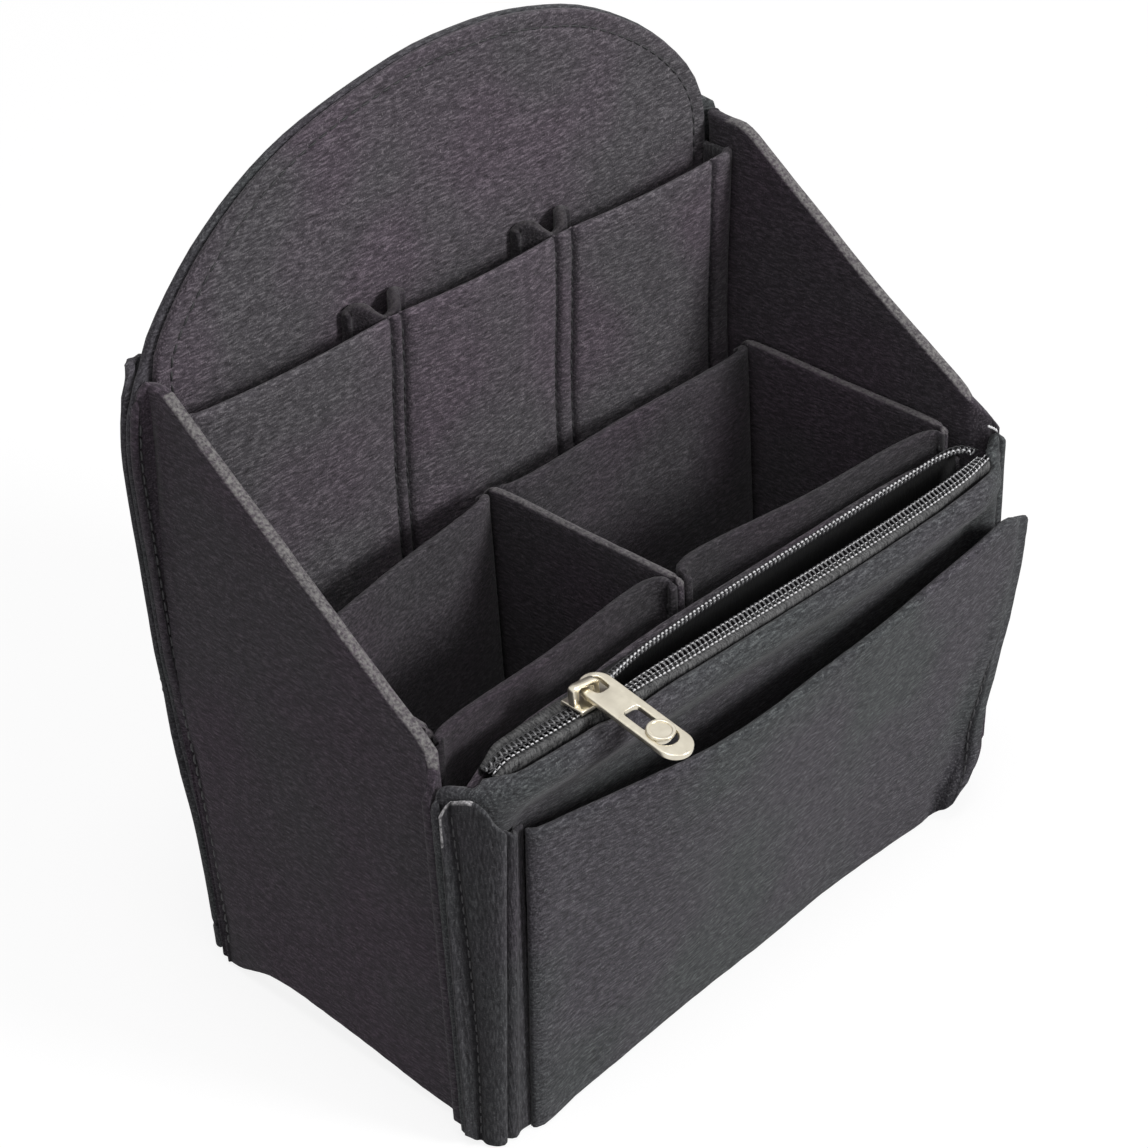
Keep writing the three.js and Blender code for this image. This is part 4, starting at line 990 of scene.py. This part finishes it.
def tilted(spot, out, offset, height):
    """Points beside a course, offset outwards and lifted, after the tilt of the strand there. The
    closed end is drawn together and dips."""
    end_x, ramp, dip = -74, 8.5, 2.2
    lean = tilt(spot[..., 0])
    end = ease((end_x - spot[..., 0]) / ramp)
    beside = (offset * np.cos(lean) + height * np.sin(lean)) * (1 - 0.5 * end)
    z = zip_z - offset * np.sin(lean) + height * np.cos(lean) - dip * end * end
    return np.concatenate([spot[..., :2] + out[..., :2] * beside[..., None], z[..., None]], -1)

# %% [markdown]
# ## Tape
# The tape is a thin woven ribbon. It carries the coil, shows as a narrow ribbed band beside it and
# turns down behind the felt's rim, where it is sewn. Its fine ribs run across it, at a slant. Both
# tapes are cut in two inside the slider, since only the open part moves when the zip is closed.

# %% Woven tape
def tape_paint(name, pale):
    paint = Paint(name)
    ribs = paint.noise((2500, 500, 500), (0, 0, 0.5), detail=1)
    weave = paint.noise(2600, detail=1)
    tone = ribs * 0.6 + weave * 0.4
    paint.bump(tone, 0.6, 0.4)
    colour = paint.ramp(tone, [(0.36, (0.01, 0.01, 0.011)), (0.62, (pale, pale, pale))])
    return paint.finish(Base_Color=colour, Roughness=0.6, Specular_IOR_Level=0.3)


tape_finish = tape_paint("woven zip tape", 0.12)
tape_shaded = tape_paint("woven zip tape in the shade", 0.016)
slider_split = -51.0


def tape_place(side, start, end):
    """Across the tape: flat up to v 0.4, round the turn up to 0.6, then hanging down."""
    hang_deep, hang_run = 10, 9.4
    down = rim_y[1] if side > 0 else front_turn
    lean = (panel_foot_y + zip_felt_back - float(rim_y[side](0.0))) / felt_top if side < 0 else 0

    def place(u, v):
        x = start + (end - start) * u
        spot = np.stack([x, root_y[side](x)], -1)
        out = np.broadcast_to(np.array([0.0, side]), spot.shape)
        flat_share, hang = np.clip(v / 0.4, 0, 1), np.clip((v - 0.6) / 0.4, 0, 1)
        turn = np.clip((v - 0.4) / 0.2, 0, 1) * math.pi / 2
        far = (side * (down(x) - spot[..., 1]) - 0.5) / np.cos(tilt(x))
        offset = 0.2 + (far - 0.2) * flat_share
        points = tilted(spot, out, offset, -0.55 * (1 - ease((offset - 1.3) / 1.2)))
        points[..., 1] += side * 0.5 * np.sin(turn) + hang * lean * hang_run
        edge_z = points[..., 2] - 0.5 * (1 - np.cos(turn))
        points[..., 2] = edge_z + (zip_z - hang_deep - edge_z) * hang
        return points

    return place


tape_start, tape_end = zip_x(-1) + 0.9, zip_x(0.985)
for name, side in (("rear", 1), ("front", -1)):
    parts = (("closed", tape_start, slider_split, f"zip_tape_{name}", tape_finish, 30),
             ("open", slider_split, tape_end, None, tape_shaded if side > 0 else tape_finish, 31))
    for part, start, end, node, finish, seed in parts:
        felt_sheet(f"zip_tape_{name}_{part}_weave", tape_place(side, start, end), 0.5, "organizer", node,
                   finish, step=1.3, wave=0, seed=seed, slot="tape", square=0.5)
print("tapes made")

# %% [markdown]
# ## Coil
# A coil zip has no separate teeth. Each side is one plastic thread wound into a flat spiral whose
# loops have thick heads towards the middle. The loops of both sides mesh where the zip is
# closed. So the thread is swept as a tube along a spiral that follows the course. A dark cord
# lies on the loops. Beside them, rows of short pale glossy spindles are painted highlights that
# stand for the glints of the lit coil loops; their table gives each row's offset from the coil's
# root, its height and its thickness.

# %% Tubes along a path
def tube(points, radius, sides=6):
    points = np.asarray(points, float)
    way = unit(np.gradient(points, axis=0))
    across = unit(np.cross(way[0], [0.13, 0.21, 1.0]))
    frames = []
    for direction in way:
        across = unit(across - direction * (across @ direction))
        frames.append(across)
    frames = np.array(frames)
    other = np.cross(way, frames)
    turns = np.arange(sides) * 2 * math.pi / sides
    radii = np.broadcast_to(radius, len(points))[:, None, None]
    ring = (frames[:, None] * np.cos(turns)[None, :, None]
            + other[:, None] * np.sin(turns)[None, :, None]) * radii
    return (points[:, None] + ring).reshape(-1, 3), tube_faces(0, len(points), sides)


coil_finish = two_tone_paint("black coil plastic", 700, (0.06, 0.06, 0.065), (0.16, 0.16, 0.165),
                             rough=0.18, swing=0.1, specular=1.0).material
pale_thread_and_glints = two_tone_paint("pale glossy thread", 1500, (0.5, 0.5, 0.51), (0.85, 0.85, 0.86),
                             rough=0.3, specular=0.8).material
coil_pitch = 1.4

# %% Spirals and lines that follow a course
def dense_course(side, count):
    """A side's course as many points, and the way it runs at each."""
    dense = course([(x, y, 0) for x, y in root_course(side)])(np.linspace(0, 1, count))
    return dense, unit(np.gradient(dense, axis=0))


def away(way, side):
    """Directions square to a course, away from the middle line."""
    return np.stack([-way[:, 1], way[:, 0]], -1) * side


def coil_path(side):
    """The spiral's points and thickness: the heads reach inwards and are thicker."""
    per_loop = 12
    dense, way = dense_course(side, 6000)
    run = run_along(dense, 0)
    loops = int((run[-1] - coil_pitch) // coil_pitch)
    phase = np.arange(loops * per_loop) * 2 * math.pi / per_loop
    advance = phase / (2 * math.pi) + 0.05 * np.sin(2 * phase)
    s = coil_pitch * ((0.5 if side > 0 else 1.0) + advance)

    def at(table):
        return np.stack([np.interp(s, run, table[:, axis]) for axis in range(2)], -1)

    radius = 0.25 + 0.1 * np.clip(np.cos(phase), 0, 1) ** 2
    offset, height = -0.15 - 1.25 * np.cos(phase), 0.5 * np.sin(phase)
    return tilted(at(dense), away(unit(at(way)), side), offset, height), radius, loops


def coil_line(side, offset, lift):
    """A line that runs beside a coil, a little above it."""
    dense, way = dense_course(side, 900)
    wave = 0.06 * np.sin(run_along(dense, 0) * 2 * math.pi / coil_pitch)
    return tilted(dense, away(way, side), np.full(len(dense), offset), lift + wave)

# %% The coils, their threads and their painted glints
# Painted highlights: rows of pale glossy spindles stand for the glints on the lit coil loops.
glint_rows = {(1, "closed"): [], (1, "open"): [(-1.15, 0.55, 0.27)], (-1, "closed"): [(1.3, 0.42, 0.2)],
             (-1, "open"): [(1.3, 0.42, 0.24), (0.3, 0.88, 0.1), (-1.2, 0.5, 0.1)]}
for name, side in (("rear", 1), ("front", -1)):
    path, radius, loops = coil_path(side)
    split = int(np.argmax(path[:, 0] > slider_split))
    for part, rows in (("closed", slice(0, split)), ("open", slice(split, None))):
        start = f"zip_coil_{name}_{part}"
        node = f"zip_coil_{name}" if part == "closed" else None
        add_mesh(f"{start}_spiral", *tube(path[rows], radius[rows]), coil_finish, "organizer", node,
                 slot="coil")
        line = coil_line(side, 0.35, 0.72)
        keep = (line[:, 0] > slider_split) == (part == "open")
        add_mesh(f"{start}_thread", *tube(line[keep], 0.16, 5), thread, "organizer", slot="tape")
        strips = []
        for offset, lift, thickness in glint_rows[side, part]:
            line, above = coil_line(side, offset, lift), coil_line(side, offset, lift + 0.5)
            keep = (line[:, 0] > slider_split) == (part == "open")
            up = unit(above - line)[keep]
            strips.append(spindles(line[keep], up, coil_pitch, 0.95, thickness, 0.6, 0.6))
        if strips:
            add_mesh(f"{start}_seam", *join(strips), pale_thread_and_glints, "organizer", slot="tape")
    print(f"{name} coil: {loops} loops")

# %% [markdown]
# When the slider runs to the right the open side has to follow it. Felt and tape would bend; here
# the open tapes and coils are only given meshes of their own.

# %% The open side's pieces get meshes of their own
closing = [piece for piece in bpy.data.objects
           if piece.name.startswith("zip_") and "_open_" in piece.name]
for piece in closing:
    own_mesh(piece)
print("pieces that close:", len(closing))

# %% [markdown]
# ## Slider and pull
# Slider, bridge and pull are zinc castings plated in a warm nickel. A flat outline with rounded
# holes, given a depth and a rounded edge by Blender's curve bevel, is just how such a casting
# looks. The bevel catches the bright line that makes small metal parts read as metal.

# %% Satin plated metal
def metal_paint():
    paint = Paint("warm satin nickel")
    brushed = paint.noise(500, detail=3)
    fine = paint.noise(3000, detail=1)
    paint.bump(fine, 0.06, 0.1)
    colour = paint.ramp(brushed, [(0.3, (0.66, 0.61, 0.50)), (0.7, (0.74, 0.69, 0.575))])
    return paint.finish(Base_Color=colour, Metallic=1.0, Roughness=brushed * 0.12 + 0.24)


metal = metal_paint()
print("made", metal.name)

# %% Castings from flat outlines
def rounded(points, radius, steps=5):
    """The outline with its corners rounded off."""
    points = np.array(points, float)
    out = []
    for k, corner in enumerate(points):
        before, after = points[k - 1] - corner, points[(k + 1) % len(points)] - corner
        reach = min(radius, 0.45 * np.linalg.norm(before), 0.45 * np.linalg.norm(after))
        a, b = corner + unit(before) * reach, corner + unit(after) * reach
        t = np.linspace(0, 1, steps)[:, None]
        out.append((1 - t) ** 2 * a + 2 * t * (1 - t) * corner + t * t * b)
    return np.vstack(out)


def casting(outlines, low, high, bevel):
    """A plate between two heights with rounded edges. The first outline is its edge, the rest are
    holes."""
    curve = bpy.data.curves.new("casting", "CURVE")
    curve.dimensions, curve.fill_mode = "2D", "BOTH"
    for outline in outlines:
        spline = curve.splines.new("POLY")
        spline.points.add(len(outline) - 1)
        for point, (x, y) in zip(spline.points, outline):
            point.co = (x, y, 0, 1)
        spline.use_cyclic_u = True
    curve.extrude = (high - low) / 2 - bevel
    curve.bevel_depth, curve.bevel_resolution, curve.offset = bevel, 2, -bevel
    holder = bpy.data.objects.new("casting", curve)
    bpy.context.collection.objects.link(holder)
    bpy.context.view_layer.update()
    mesh = holder.to_mesh()
    verts = np.array([vert.co[:] for vert in mesh.vertices]) + [0, 0, (low + high) / 2]
    faces = [list(face.vertices) for face in mesh.polygons]
    holder.to_mesh_clear()
    bpy.data.objects.remove(holder)
    bpy.data.curves.remove(curve)
    return verts, faces


def metal_piece(name, parts, body, node):
    piece = add_mesh(name, *join(parts), metal, body, node, slot="metal", weld=True)
    piece.data.set_sharp_from_angle(angle=math.radians(50))

# %% The slider
coil_top, coil_low, plate = zip_z + 1.05, zip_z - 1.05, 0.8
slider_top = coil_top + plate


def slider_edge(side, extra, nose_cut=1.0):
    """One edge seen from above: narrow at the tail, wide at the nose, where its corner is cut."""
    xs = np.linspace(-0.5, 0.5, 23) * slider_length
    half = np.interp(xs, [-5.5, -1.1, 4.4], [2.6, 2.6, 5.05])
    cut = nose_cut * np.clip((xs - 3.4) / 2.1, 0, 1) ** 2
    return np.stack([slider_x + xs, zip_y + side * (half + extra - cut)], -1)


outline = rounded(np.vstack([slider_edge(-1, 0.8), slider_edge(1, 0.8)[::-1]]), 0.5, 3)
parts = [casting([outline], coil_low - plate, coil_low, 0.22),
         casting([outline], coil_top, slider_top, 0.3)]
for side in (-1, 1):
    band = np.vstack([slider_edge(side, 0.05, 0.9), slider_edge(side, 0.75, 0.9)[::-1]])
    for low, high in ((coil_low - 0.4, zip_z - 0.6), (zip_z + 0.6, coil_top + 0.4)):
        parts.append(casting([band], low, high, 0.12))
wedge = [(slider_x + 2.75, zip_y), (slider_x + 5.2, zip_y - 1), (slider_x + 5.2, zip_y + 1)]
parts.append(casting([rounded(wedge, 0.3)], coil_low - 0.4, slider_top - 0.4, 0.1))
metal_piece("slider_casting", parts, "slider", "zip_slider_body")

# %% The bridge and the pull
bridge_left, leg, spacing = slider_x - 4.6, 1.8, 6.1
pivot = np.array([bridge_left + spacing, zip_y, slider_top + 2.1])
left, right, high = bridge_left - leg / 2, pivot[0] + leg / 2, slider_top + 4.9
arch = rounded([(left, slider_top - 0.3), (left, high - 0.6), (left + 1.2, high), (right - 1.1, high - 0.6),
                (right, high - 1.5), (right, slider_top - 0.3), (right - leg, slider_top - 0.3),
                (right - leg, high - 2.2), (left + leg + 0.5, high - 1.15), (left + leg, high - 1.8),
                (left + leg, slider_top - 0.3)], 0.7)
verts, faces = casting([arch], -1.0, 1.0, 0.32)
verts = np.stack([verts[:, 0], zip_y - verts[:, 2], verts[:, 1]], -1)
metal_piece("slider_bridge_casting", [(verts, faces)], "slider", "zip_slider_bridge")


def stadium(half, near, far):
    """The pull's outline: straight sides with a half circle at each end."""
    turn = np.linspace(0, math.pi, 18)
    top = np.stack([half * np.cos(turn), near - half + half * np.sin(turn)], -1)
    return np.vstack([top, np.stack([-half * np.cos(turn), far + half - half * np.sin(turn)], -1)])


def window(half, near, far, radius):
    """A hole with rounded corners."""
    return rounded([(-half, near), (-half, far), (half, far), (half, near)], radius)


def drooped(part):
    """The flat pull hangs from the pivot, its free end a little lower."""
    verts, faces = part
    droop = math.radians(10.5)
    y, z = verts[:, 1], verts[:, 2]
    turned = np.stack([verts[:, 0], y * math.cos(droop) - z * math.sin(droop),
                       y * math.sin(droop) + z * math.cos(droop)], -1)
    return turned + pivot, faces


disc_y = -20.5
arc = np.linspace(math.pi * 1.05, math.pi * 1.95, 24)
crescent = np.vstack([np.stack([3.0 * np.cos(arc), disc_y - 1.4 + 3.0 * np.sin(arc)], -1),
                      np.stack([2.7 * np.cos(arc[::-1]), disc_y - 0.3 + 2.3 * np.sin(arc[::-1])], -1)])
slot_hole, lower_hole = window(2.1, 1.6, -3.3, 1.6), window(2.2, -11.0, -18.4, 1.2)
pull = casting([stadium(4.3, 3.2, -29.0), slot_hole, lower_hole, crescent], -0.75, 0.75, 0.3)
metal_piece("pull_casting", [drooped(pull)], "pull", "zip_pull_plate")
around = np.linspace(0, 2 * math.pi, 49)[:-1]
circle = np.stack([np.cos(around), np.sin(around)], -1)
disc = casting([circle * 3.3 + [0, disc_y]], 0.75, 1.35, 0.28)
disc_rim = casting([circle * 3.25 + [0, disc_y], circle[::-1] * 2.45 + [0, disc_y]], 1.0, 1.6, 0.22)
metal_piece("pull_disc_casting", [drooped(disc), drooped(disc_rim)], "pull", "zip_pull_disc")
print("slider, bridge, pull and disc cast")

# %% [markdown]
# ## The pouch and the front
# The pouch behind the zip is closed by a thinner panel. The front panel stands on its foot and
# leans out to the zip, and its ends are sewn to the flanges of the side panels. At the top it
# rolls in towards the coil. Near the floor the right flanges run inwards, and at the top of the
# right flange a few pale threads stand out of the cut felt.

# %% The pouch's rear panel
pouch_low_z, pouch_end, behind_rim = 12, 85.2, 0.25 + gap + 1.1
front_out = float(rim_y[-1](0.0)) - zip_felt_back - panel_foot_y
low_y = panel_foot_y + front_out * pouch_low_z / felt_top + 1.7 + 2 * gap + 1.1
pouch_xs = [-pouch_end, *(zip_x(row[0]) for row in rim_shares[1:]), pouch_end]
pouch_line = [(x, float(rim_y[1](x)) + behind_rim) for x in pouch_xs]
pouch_line[-1] = (pouch_end, pouch_line[-1][1] - gap)
pouch_lows = [[0.97 * x, low_y, pouch_low_z] for x, y in pouch_line]
pouch_tops = [[x, y - 4 * float(ease((-70 - x) / 14)),
               felt_top + 0.8 - 3.2 * float(ease((abs(x) - 71) / 8))] for x, y in pouch_line]
felt_sheet("pouch_back_felt", ruled(pouch_lows, pouch_tops), 2.2, "organizer", "pouch_back_panel",
           felt_inside, seed=40, fold="t")
print("pouch's rear panel made")

# %% The front panel's surface
def front_corner(side, rows):
    """Points of a flange: shares of its width from the outer edge, of the bend, and of the height."""
    return [[side * (flange_x - gap - inward * flange_out), panel_flange_y - forward * bend,
             high * felt_top] for inward, forward, high in rows]


left_top = [(0, 0, 0.94), (0.5, 0, 0.985), (0.95, 1.1, 0.995), (1.33, 2.5, 1)]
right_top = [(0, 0, 1.025), (0.6, 0, 1.05), (1.2, 0.8, 1.02), (1.65, 1.8, 1)]
left_low = [(0, 0, 0.02), (0.6, -0.45, 0), (1.5, -1.4, 0), (2.5, -2.4, 0)]
right_low = [(1.1, 0, 0.15), (1.4, -0.3, 0.07), (1.9, -1.4, 0.03), (2.7, -2.4, 0.01)]
stations_x = [-0.94, -0.8, -0.62, -0.4, -0.1, 0.2, 0.5, 0.74, 0.9]
front_tops = [[zip_x(share), float(rim_y[-1](zip_x(share))) - zip_felt_back, felt_top]
              for share in stations_x]
front_lows = [[0.9 * share * side_inner, panel_foot_y, 0] for share in stations_x]
ruled_front = ruled(front_corner(-1, left_low) + front_lows + front_corner(1, right_low)[::-1],
                    front_corner(-1, left_top) + front_tops + front_corner(1, right_top)[::-1])

# The right outline of the front from the photograph: heights, and how far out it is there.
right_outline = course_through(
    [0, 9, 12.1, 15.2, 22.8, 30.4, 37.4, 44.5, 51.3, 58.5, 65.7, 73.2, 77, 90],
    [71, 74, 76.3, 78.5, 80.4, 82.3, 85.3, 87.9, 90.8, 93, 95.2, 96.6, 97.3, 97.3])
drawn_from = 62


def drawn_in(points, share):
    """The right end drawn in: what lies beyond drawn_from keeps this share of its distance."""
    x = points[..., 0]
    x = np.where(x > drawn_from, drawn_from + (x - drawn_from) * share, x)
    return np.concatenate([x[..., None], points[..., 1:]], -1)


def front_surface(u, v):
    """Under its top the front draws in, so that the top overhangs and shades the pocket's mouth."""
    points, edge, behind = ruled_front(u, v), ruled_front(0 * u + 1, v)[..., 0], 3.0
    outer = right_outline(points[..., 2] + behind) + behind
    points = drawn_in(points, np.clip((outer - drawn_from) / (edge - drawn_from), 0.3, 1))
    x, z = points[..., 0], points[..., 2]
    merged = 0.4 * ease((-x - 87.5) / 3)
    drawn = 7 * ease((z - 30) / 35) * ease((97 - z) / 14) * ease((x + 84) / 12) * ease((88 - x) / 10)
    return points + np.stack([0 * x, merged + drawn, 0 * x], -1)


def front_place(u, v):
    """The panel leans out, and its top rolls in to the coil in an arc and a short flat end."""
    roll_from, radius = 0.957, 2.6
    straight = front_surface(u, v)
    base, below = front_surface(u, 0 * v + roll_from), front_surface(u, 0 * v + 0.9)
    rise = np.arctan2(base[..., 2] - below[..., 2], base[..., 1] - below[..., 1])
    x = base[..., 0]
    end_y = front_turn(x) - 0.6 + 2.6 * ease((-75 - x) / 9)
    end_y = end_y + 1.8 * ease((-79 - x) / 4) + 6 * ease((x - 83.5) / 4)
    over = end_y - (base[..., 1] + radius)
    length = radius * rise + np.maximum(over, 0)
    done = np.clip((v - roll_from) / (1 - roll_from), 0, 1) * length
    angle = rise - np.minimum(done / radius, rise)
    across = radius * (np.sin(rise) - np.sin(angle)) + np.maximum(done - radius * rise, 0)
    narrow = np.clip((over + radius) / radius, 0.3, 1)
    rolled = np.stack([x, base[..., 1] + across * narrow,
                       base[..., 2] + radius * (np.cos(angle) - np.cos(rise))], -1)
    share = (ease((x + 90) / 6) * ease((90 - x) / 4))[..., None]
    return np.where((v > roll_from)[..., None], straight * (1 - share) + rolled * share, straight)

# %% The front panel with its stitches and frayed threads
front = felt_sheet("front_panel_felt", front_place, 3.4, "organizer", "front_panel", felt_x,
                   seams_u=[flange_seam, -flange_seam], seed=41, square=0.25, fold="t",
                   squeeze=pinched(0.3), lines_v=[0.5, 1.6, 2.2, 2.8, 3.4, 4.0, 4.7, 5.4])
stitches("front_panel_stitches", front, [("l", flange_seam, 1), ("r", flange_seam, 1)])
fray_line = course([[87.6, -49.1, 106.7], [89.6, -49.1, 105.2], [91.5, -49.1, 103.3]])
fray_points, fray_up = fray_line(np.linspace(0, 1, 30)), np.array([[0, -0.5, 0.87]] * 30)
fray = spindles(fray_points, fray_up, pitch=1.1, length=1.5, radius=0.4, start=0, end=0)
add_mesh("right_flange_fray", *fray, pale_thread_and_glints, "organizer", slot="felt")
print("front panel made")

# %% [markdown]
# ## The bellows pocket
# A pocket of felt stands off the front. Its face bellies out at the top, its right edge lies on
# the flange, and at the left a thin gusset is folded to and fro in two pleats. A row of the face's
# table is one station: x and belly at the top, then x and belly at the foot, as shares of half the
# width and of the deepest belly. The gusset's tables hold the same, with its folds.

# %% The pocket's face
face_rows = [(-.862, .69, -.886, .9), (-.85, .745, -.872, .95), (-.739, .818, -.728, .84),
             (-.528, .929, -.578, .76), (-.362, 1.01, -.42, .67), (-.172, 1.025, -.22, .57),
             (.122, .943, .05, .47), (.351, .886, .3, .34), (.6, .79, .56, .3),
             (.766, .736, .74, .3), (.9, .68, .87, .3), (.935, .66, .92, .42)]
half_width, pocket_high, belly_top, belly_low = 90, 85.0, 28.0, 17.4
corner_rise = course_through([-80, 31, 54, 69, 81, 85], [0, 0, 0.8, 1.6, 2.3, 1.3])
pocket_top = [[x * half_width, -half_depth - belly * belly_top,
               pocket_high + float(corner_rise(x * half_width))] for x, belly, _, _ in face_rows]
pocket_low = [[x * half_width, -half_depth - belly * belly_low, max(0, 30 * (x - 0.86))]
              for _, _, x, belly in face_rows]
flange_line = pocket_flange_y - gap
pocket_top += [[side_x, flange_line - bend, pocket_high - 3.4],
               [flange_x - 1.3, flange_line, pocket_high - 5.3],
               [flange_x + 3, flange_line, pocket_high - 6.7]]
pocket_low += [[side_x - 4.2, pocket_flange_y + 1.5, 3.4], [side_x - 2.2, pocket_flange_y, 6.5],
               [side_x - 0.6, pocket_flange_y, 11]]
pocket_surface = ruled(pocket_low, pocket_top)


def pocket_place(u, v):
    points, edge = pocket_surface(u, v), pocket_surface(0 * u + 1, v)[..., 0]
    outer = right_outline(points[..., 2])
    return drawn_in(points, (outer - drawn_from) / (edge - drawn_from))


pocket_seam = 7.0
pocket = felt_sheet("front_pocket_felt", pocket_place, 2.6, "organizer", "front_pocket_panel", felt_x,
                    step=2.4, seams_u=[-pocket_seam], seed=42, wave=0.3, fold="tl", square=0.2)
stitches("front_pocket_stitches", pocket, [("r", pocket_seam, 1)], start=4, end=4)
floor_y = y_along([(x, y) for x, y, z in pocket_low])


def pocket_floor_place(u, v):
    """A narrow floor between the back of the pocket's face and the front panel's foot."""
    x = -75.6 + 129.6 * u
    front_edge, rear_edge = floor_y(x) + 1.3 + 2 * gap, panel_foot_y - 1.7 - 2 * gap
    return np.stack([x, front_edge + (rear_edge - front_edge) * v, 0.8 + 0 * x], -1)


felt_sheet("front_pocket_floor_felt", pocket_floor_place, 1.6, "organizer", "front_pocket_floor",
           felt_thin, wave=0, seed=43, slot="gusset")
print("pocket's face and floor made")

# %% The pleated gusset
pleat_x = [-1.036, -1.014, -.992, -.978, -.966, -.953, -.936, -.915, -.893, -.855]
pleat_top = [.393, .436, .56, .66, .71, .71, .64, .70, .64, .61]
pleat_low = [.632, .67, .77, .84, .87, .86, .79, .87, .84, .85]
pleat_fold = [0, 0, 0, .1, .2, 1, 0, .8, .2, 0]
pleat_shift = [.014, .014, .017, .021, .025, .028, .031, .032, .03, .026]
pleat_drop = [0, -3.6, -5.0, -3.2, 0.2, 2.2, 3.6, 5.0, 6.4, 7]
pleat_foot = [3, 1, 0, 0, 0, 0, 0, 0, 0, 0]
top_columns = zip(pleat_x, pleat_top, pleat_fold, pleat_drop)
bellows_top = [[x * half_width, -half_depth - out * belly_top - fold * 1.7, pocket_high + 6.9 - drop]
               for x, out, fold, drop in top_columns]
low_columns = zip(pleat_x, pleat_low, pleat_fold, pleat_shift, pleat_foot)
bellows_low = [[(x - shift) * half_width, -half_depth - out * belly_low - fold * 0.6, foot]
               for x, out, fold, shift, foot in low_columns]


def merged_flange(points):
    """Its left end lies close on the flange behind."""
    merged = 1.5 * ease((-points[..., 0] - 89.5) / 3)
    return points + np.stack([0 * merged, merged, 0 * merged], -1)


def pale_corner(gaps):
    """The frayed, pale edge at the ear: the top, and the upper end of the left side."""
    side = gaps["l"] + 20 * (gaps["t"] > 8)
    return np.minimum(gaps["t"], side) - 0.15 + 20 * (gaps["l"] > 11)


gusset_seam = 4.6
bellows = felt_sheet("front_pocket_bellows_felt", ruled(bellows_low, bellows_top, merged_flange), 1.3,
                     "organizer", "front_pocket_left_gusset", felt_frayed, step=0.8,
                     seams_u=[gusset_seam], press=0.1, dent=0.7, seed=44, wave=0.1, slot="gusset",
                     fold="t", pale=pale_corner)
stitches("front_pocket_bellows_stitches", bellows, [("l", gusset_seam, 1)], pitch=3.0, length=2.6,
         radius=0.3)
print("bellows pocket made")

# %% [markdown]
# ## Stage and light
# In the photograph the ground is white, the front and the tall back are lit, and the left side is
# dark. A large key lamp in front, to the right and not high, gives that, a lamp above brightens
# what faces up, and a weak one at the left and the pale world fill the rest. Rays from the camera,
# and reflections, see a white world and a white floor, and the floor keeps a soft shadow.

# %% Floor, world and lamps
def seen_rays(tree):
    """A socket that is 1 for rays from the camera, in mirrors and through glass."""
    path = tree.nodes.new("ShaderNodeLightPath")
    total = path.outputs["Is Camera Ray"]
    for other in ("Is Glossy Ray", "Is Transmission Ray"):
        node = tree.nodes.new("ShaderNodeMath")
        node.operation, node.use_clamp = "ADD", True
        tree.links.new(total, node.inputs[0])
        tree.links.new(path.outputs[other], node.inputs[1])
        total = node.outputs[0]
    return total


def mix_seen(tree, hidden, seen, output):
    """Rays that are seen get one shader, the rays that only carry light get the other."""
    mix = tree.nodes.new("ShaderNodeMixShader")
    tree.links.new(seen_rays(tree), mix.inputs[0])
    tree.links.new(hidden.outputs[0], mix.inputs[1])
    tree.links.new(seen.outputs[0], mix.inputs[2])
    tree.links.new(mix.outputs[0], output.inputs["Surface"])


def floor_paint():
    paint = two_tone_paint("pale floor", 3, (0.27, 0.27, 0.27), (0.29, 0.29, 0.29), rough=0.9)
    inputs = {"Base Color": (0.2, 0.2, 0.2), "Roughness": 0.9, "Emission Color": (1, 1, 1),
              "Emission Strength": 0.86, "Specular IOR Level": 0.0}
    seen = paint.node("ShaderNodeBsdfPrincipled", {}, inputs)
    mix_seen(paint.tree, paint.shader, seen, paint.tree.nodes["Material Output"])
    return paint.material


floor_mesh = bpy.data.meshes.new("floor")
floor_mesh.from_pydata([(-4, -4, 0), (4, -4, 0), (4, 4, 0), (-4, 4, 0)], [], [(0, 1, 2, 3)])
floor_mesh.materials.append(floor_paint())
floor = bpy.data.objects.new("floor", floor_mesh)
bpy.context.collection.objects.link(floor)
floor.location.z = cad_box[0][2] - 0.0002

world = bpy.data.worlds.new("white studio")
bpy.context.scene.world = world
world.use_nodes = True
ambient = world.node_tree.nodes["Background"]
ambient.inputs["Color"].default_value = (1, 0.97, 1, 1)
ambient.inputs["Strength"].default_value = 0.27
white = world.node_tree.nodes.new("ShaderNodeBackground")
white.inputs["Strength"].default_value = 1.0
white.inputs["Color"].default_value = (1, 1, 1, 1)
mix_seen(world.node_tree, ambient, white, world.node_tree.nodes["World Output"])


def lamp(name, place, target, size, power):
    data = bpy.data.lights.new(name, "AREA")
    data.shape, data.size, data.energy = "DISK", size, power
    holder = bpy.data.objects.new(name, data)
    bpy.context.collection.objects.link(holder)
    place, target = Vector(place), Vector(target)
    facing = (target - place).to_track_quat("-Z", "Y").to_matrix().to_4x4()
    holder.matrix_world = Matrix.Translation(place) @ facing


lit = (0, 0, 0.08)
lamp("key lamp", (0.95, -2.35, 1.25), lit, 0.8, 51)
lamp("top lamp", (-0.2, -0.3, 2.1), lit, 1.0, 14)
lamp("fill lamp", (-1.4, -0.7, 0.7), lit, 0.9, 0.9)
print("stage set")
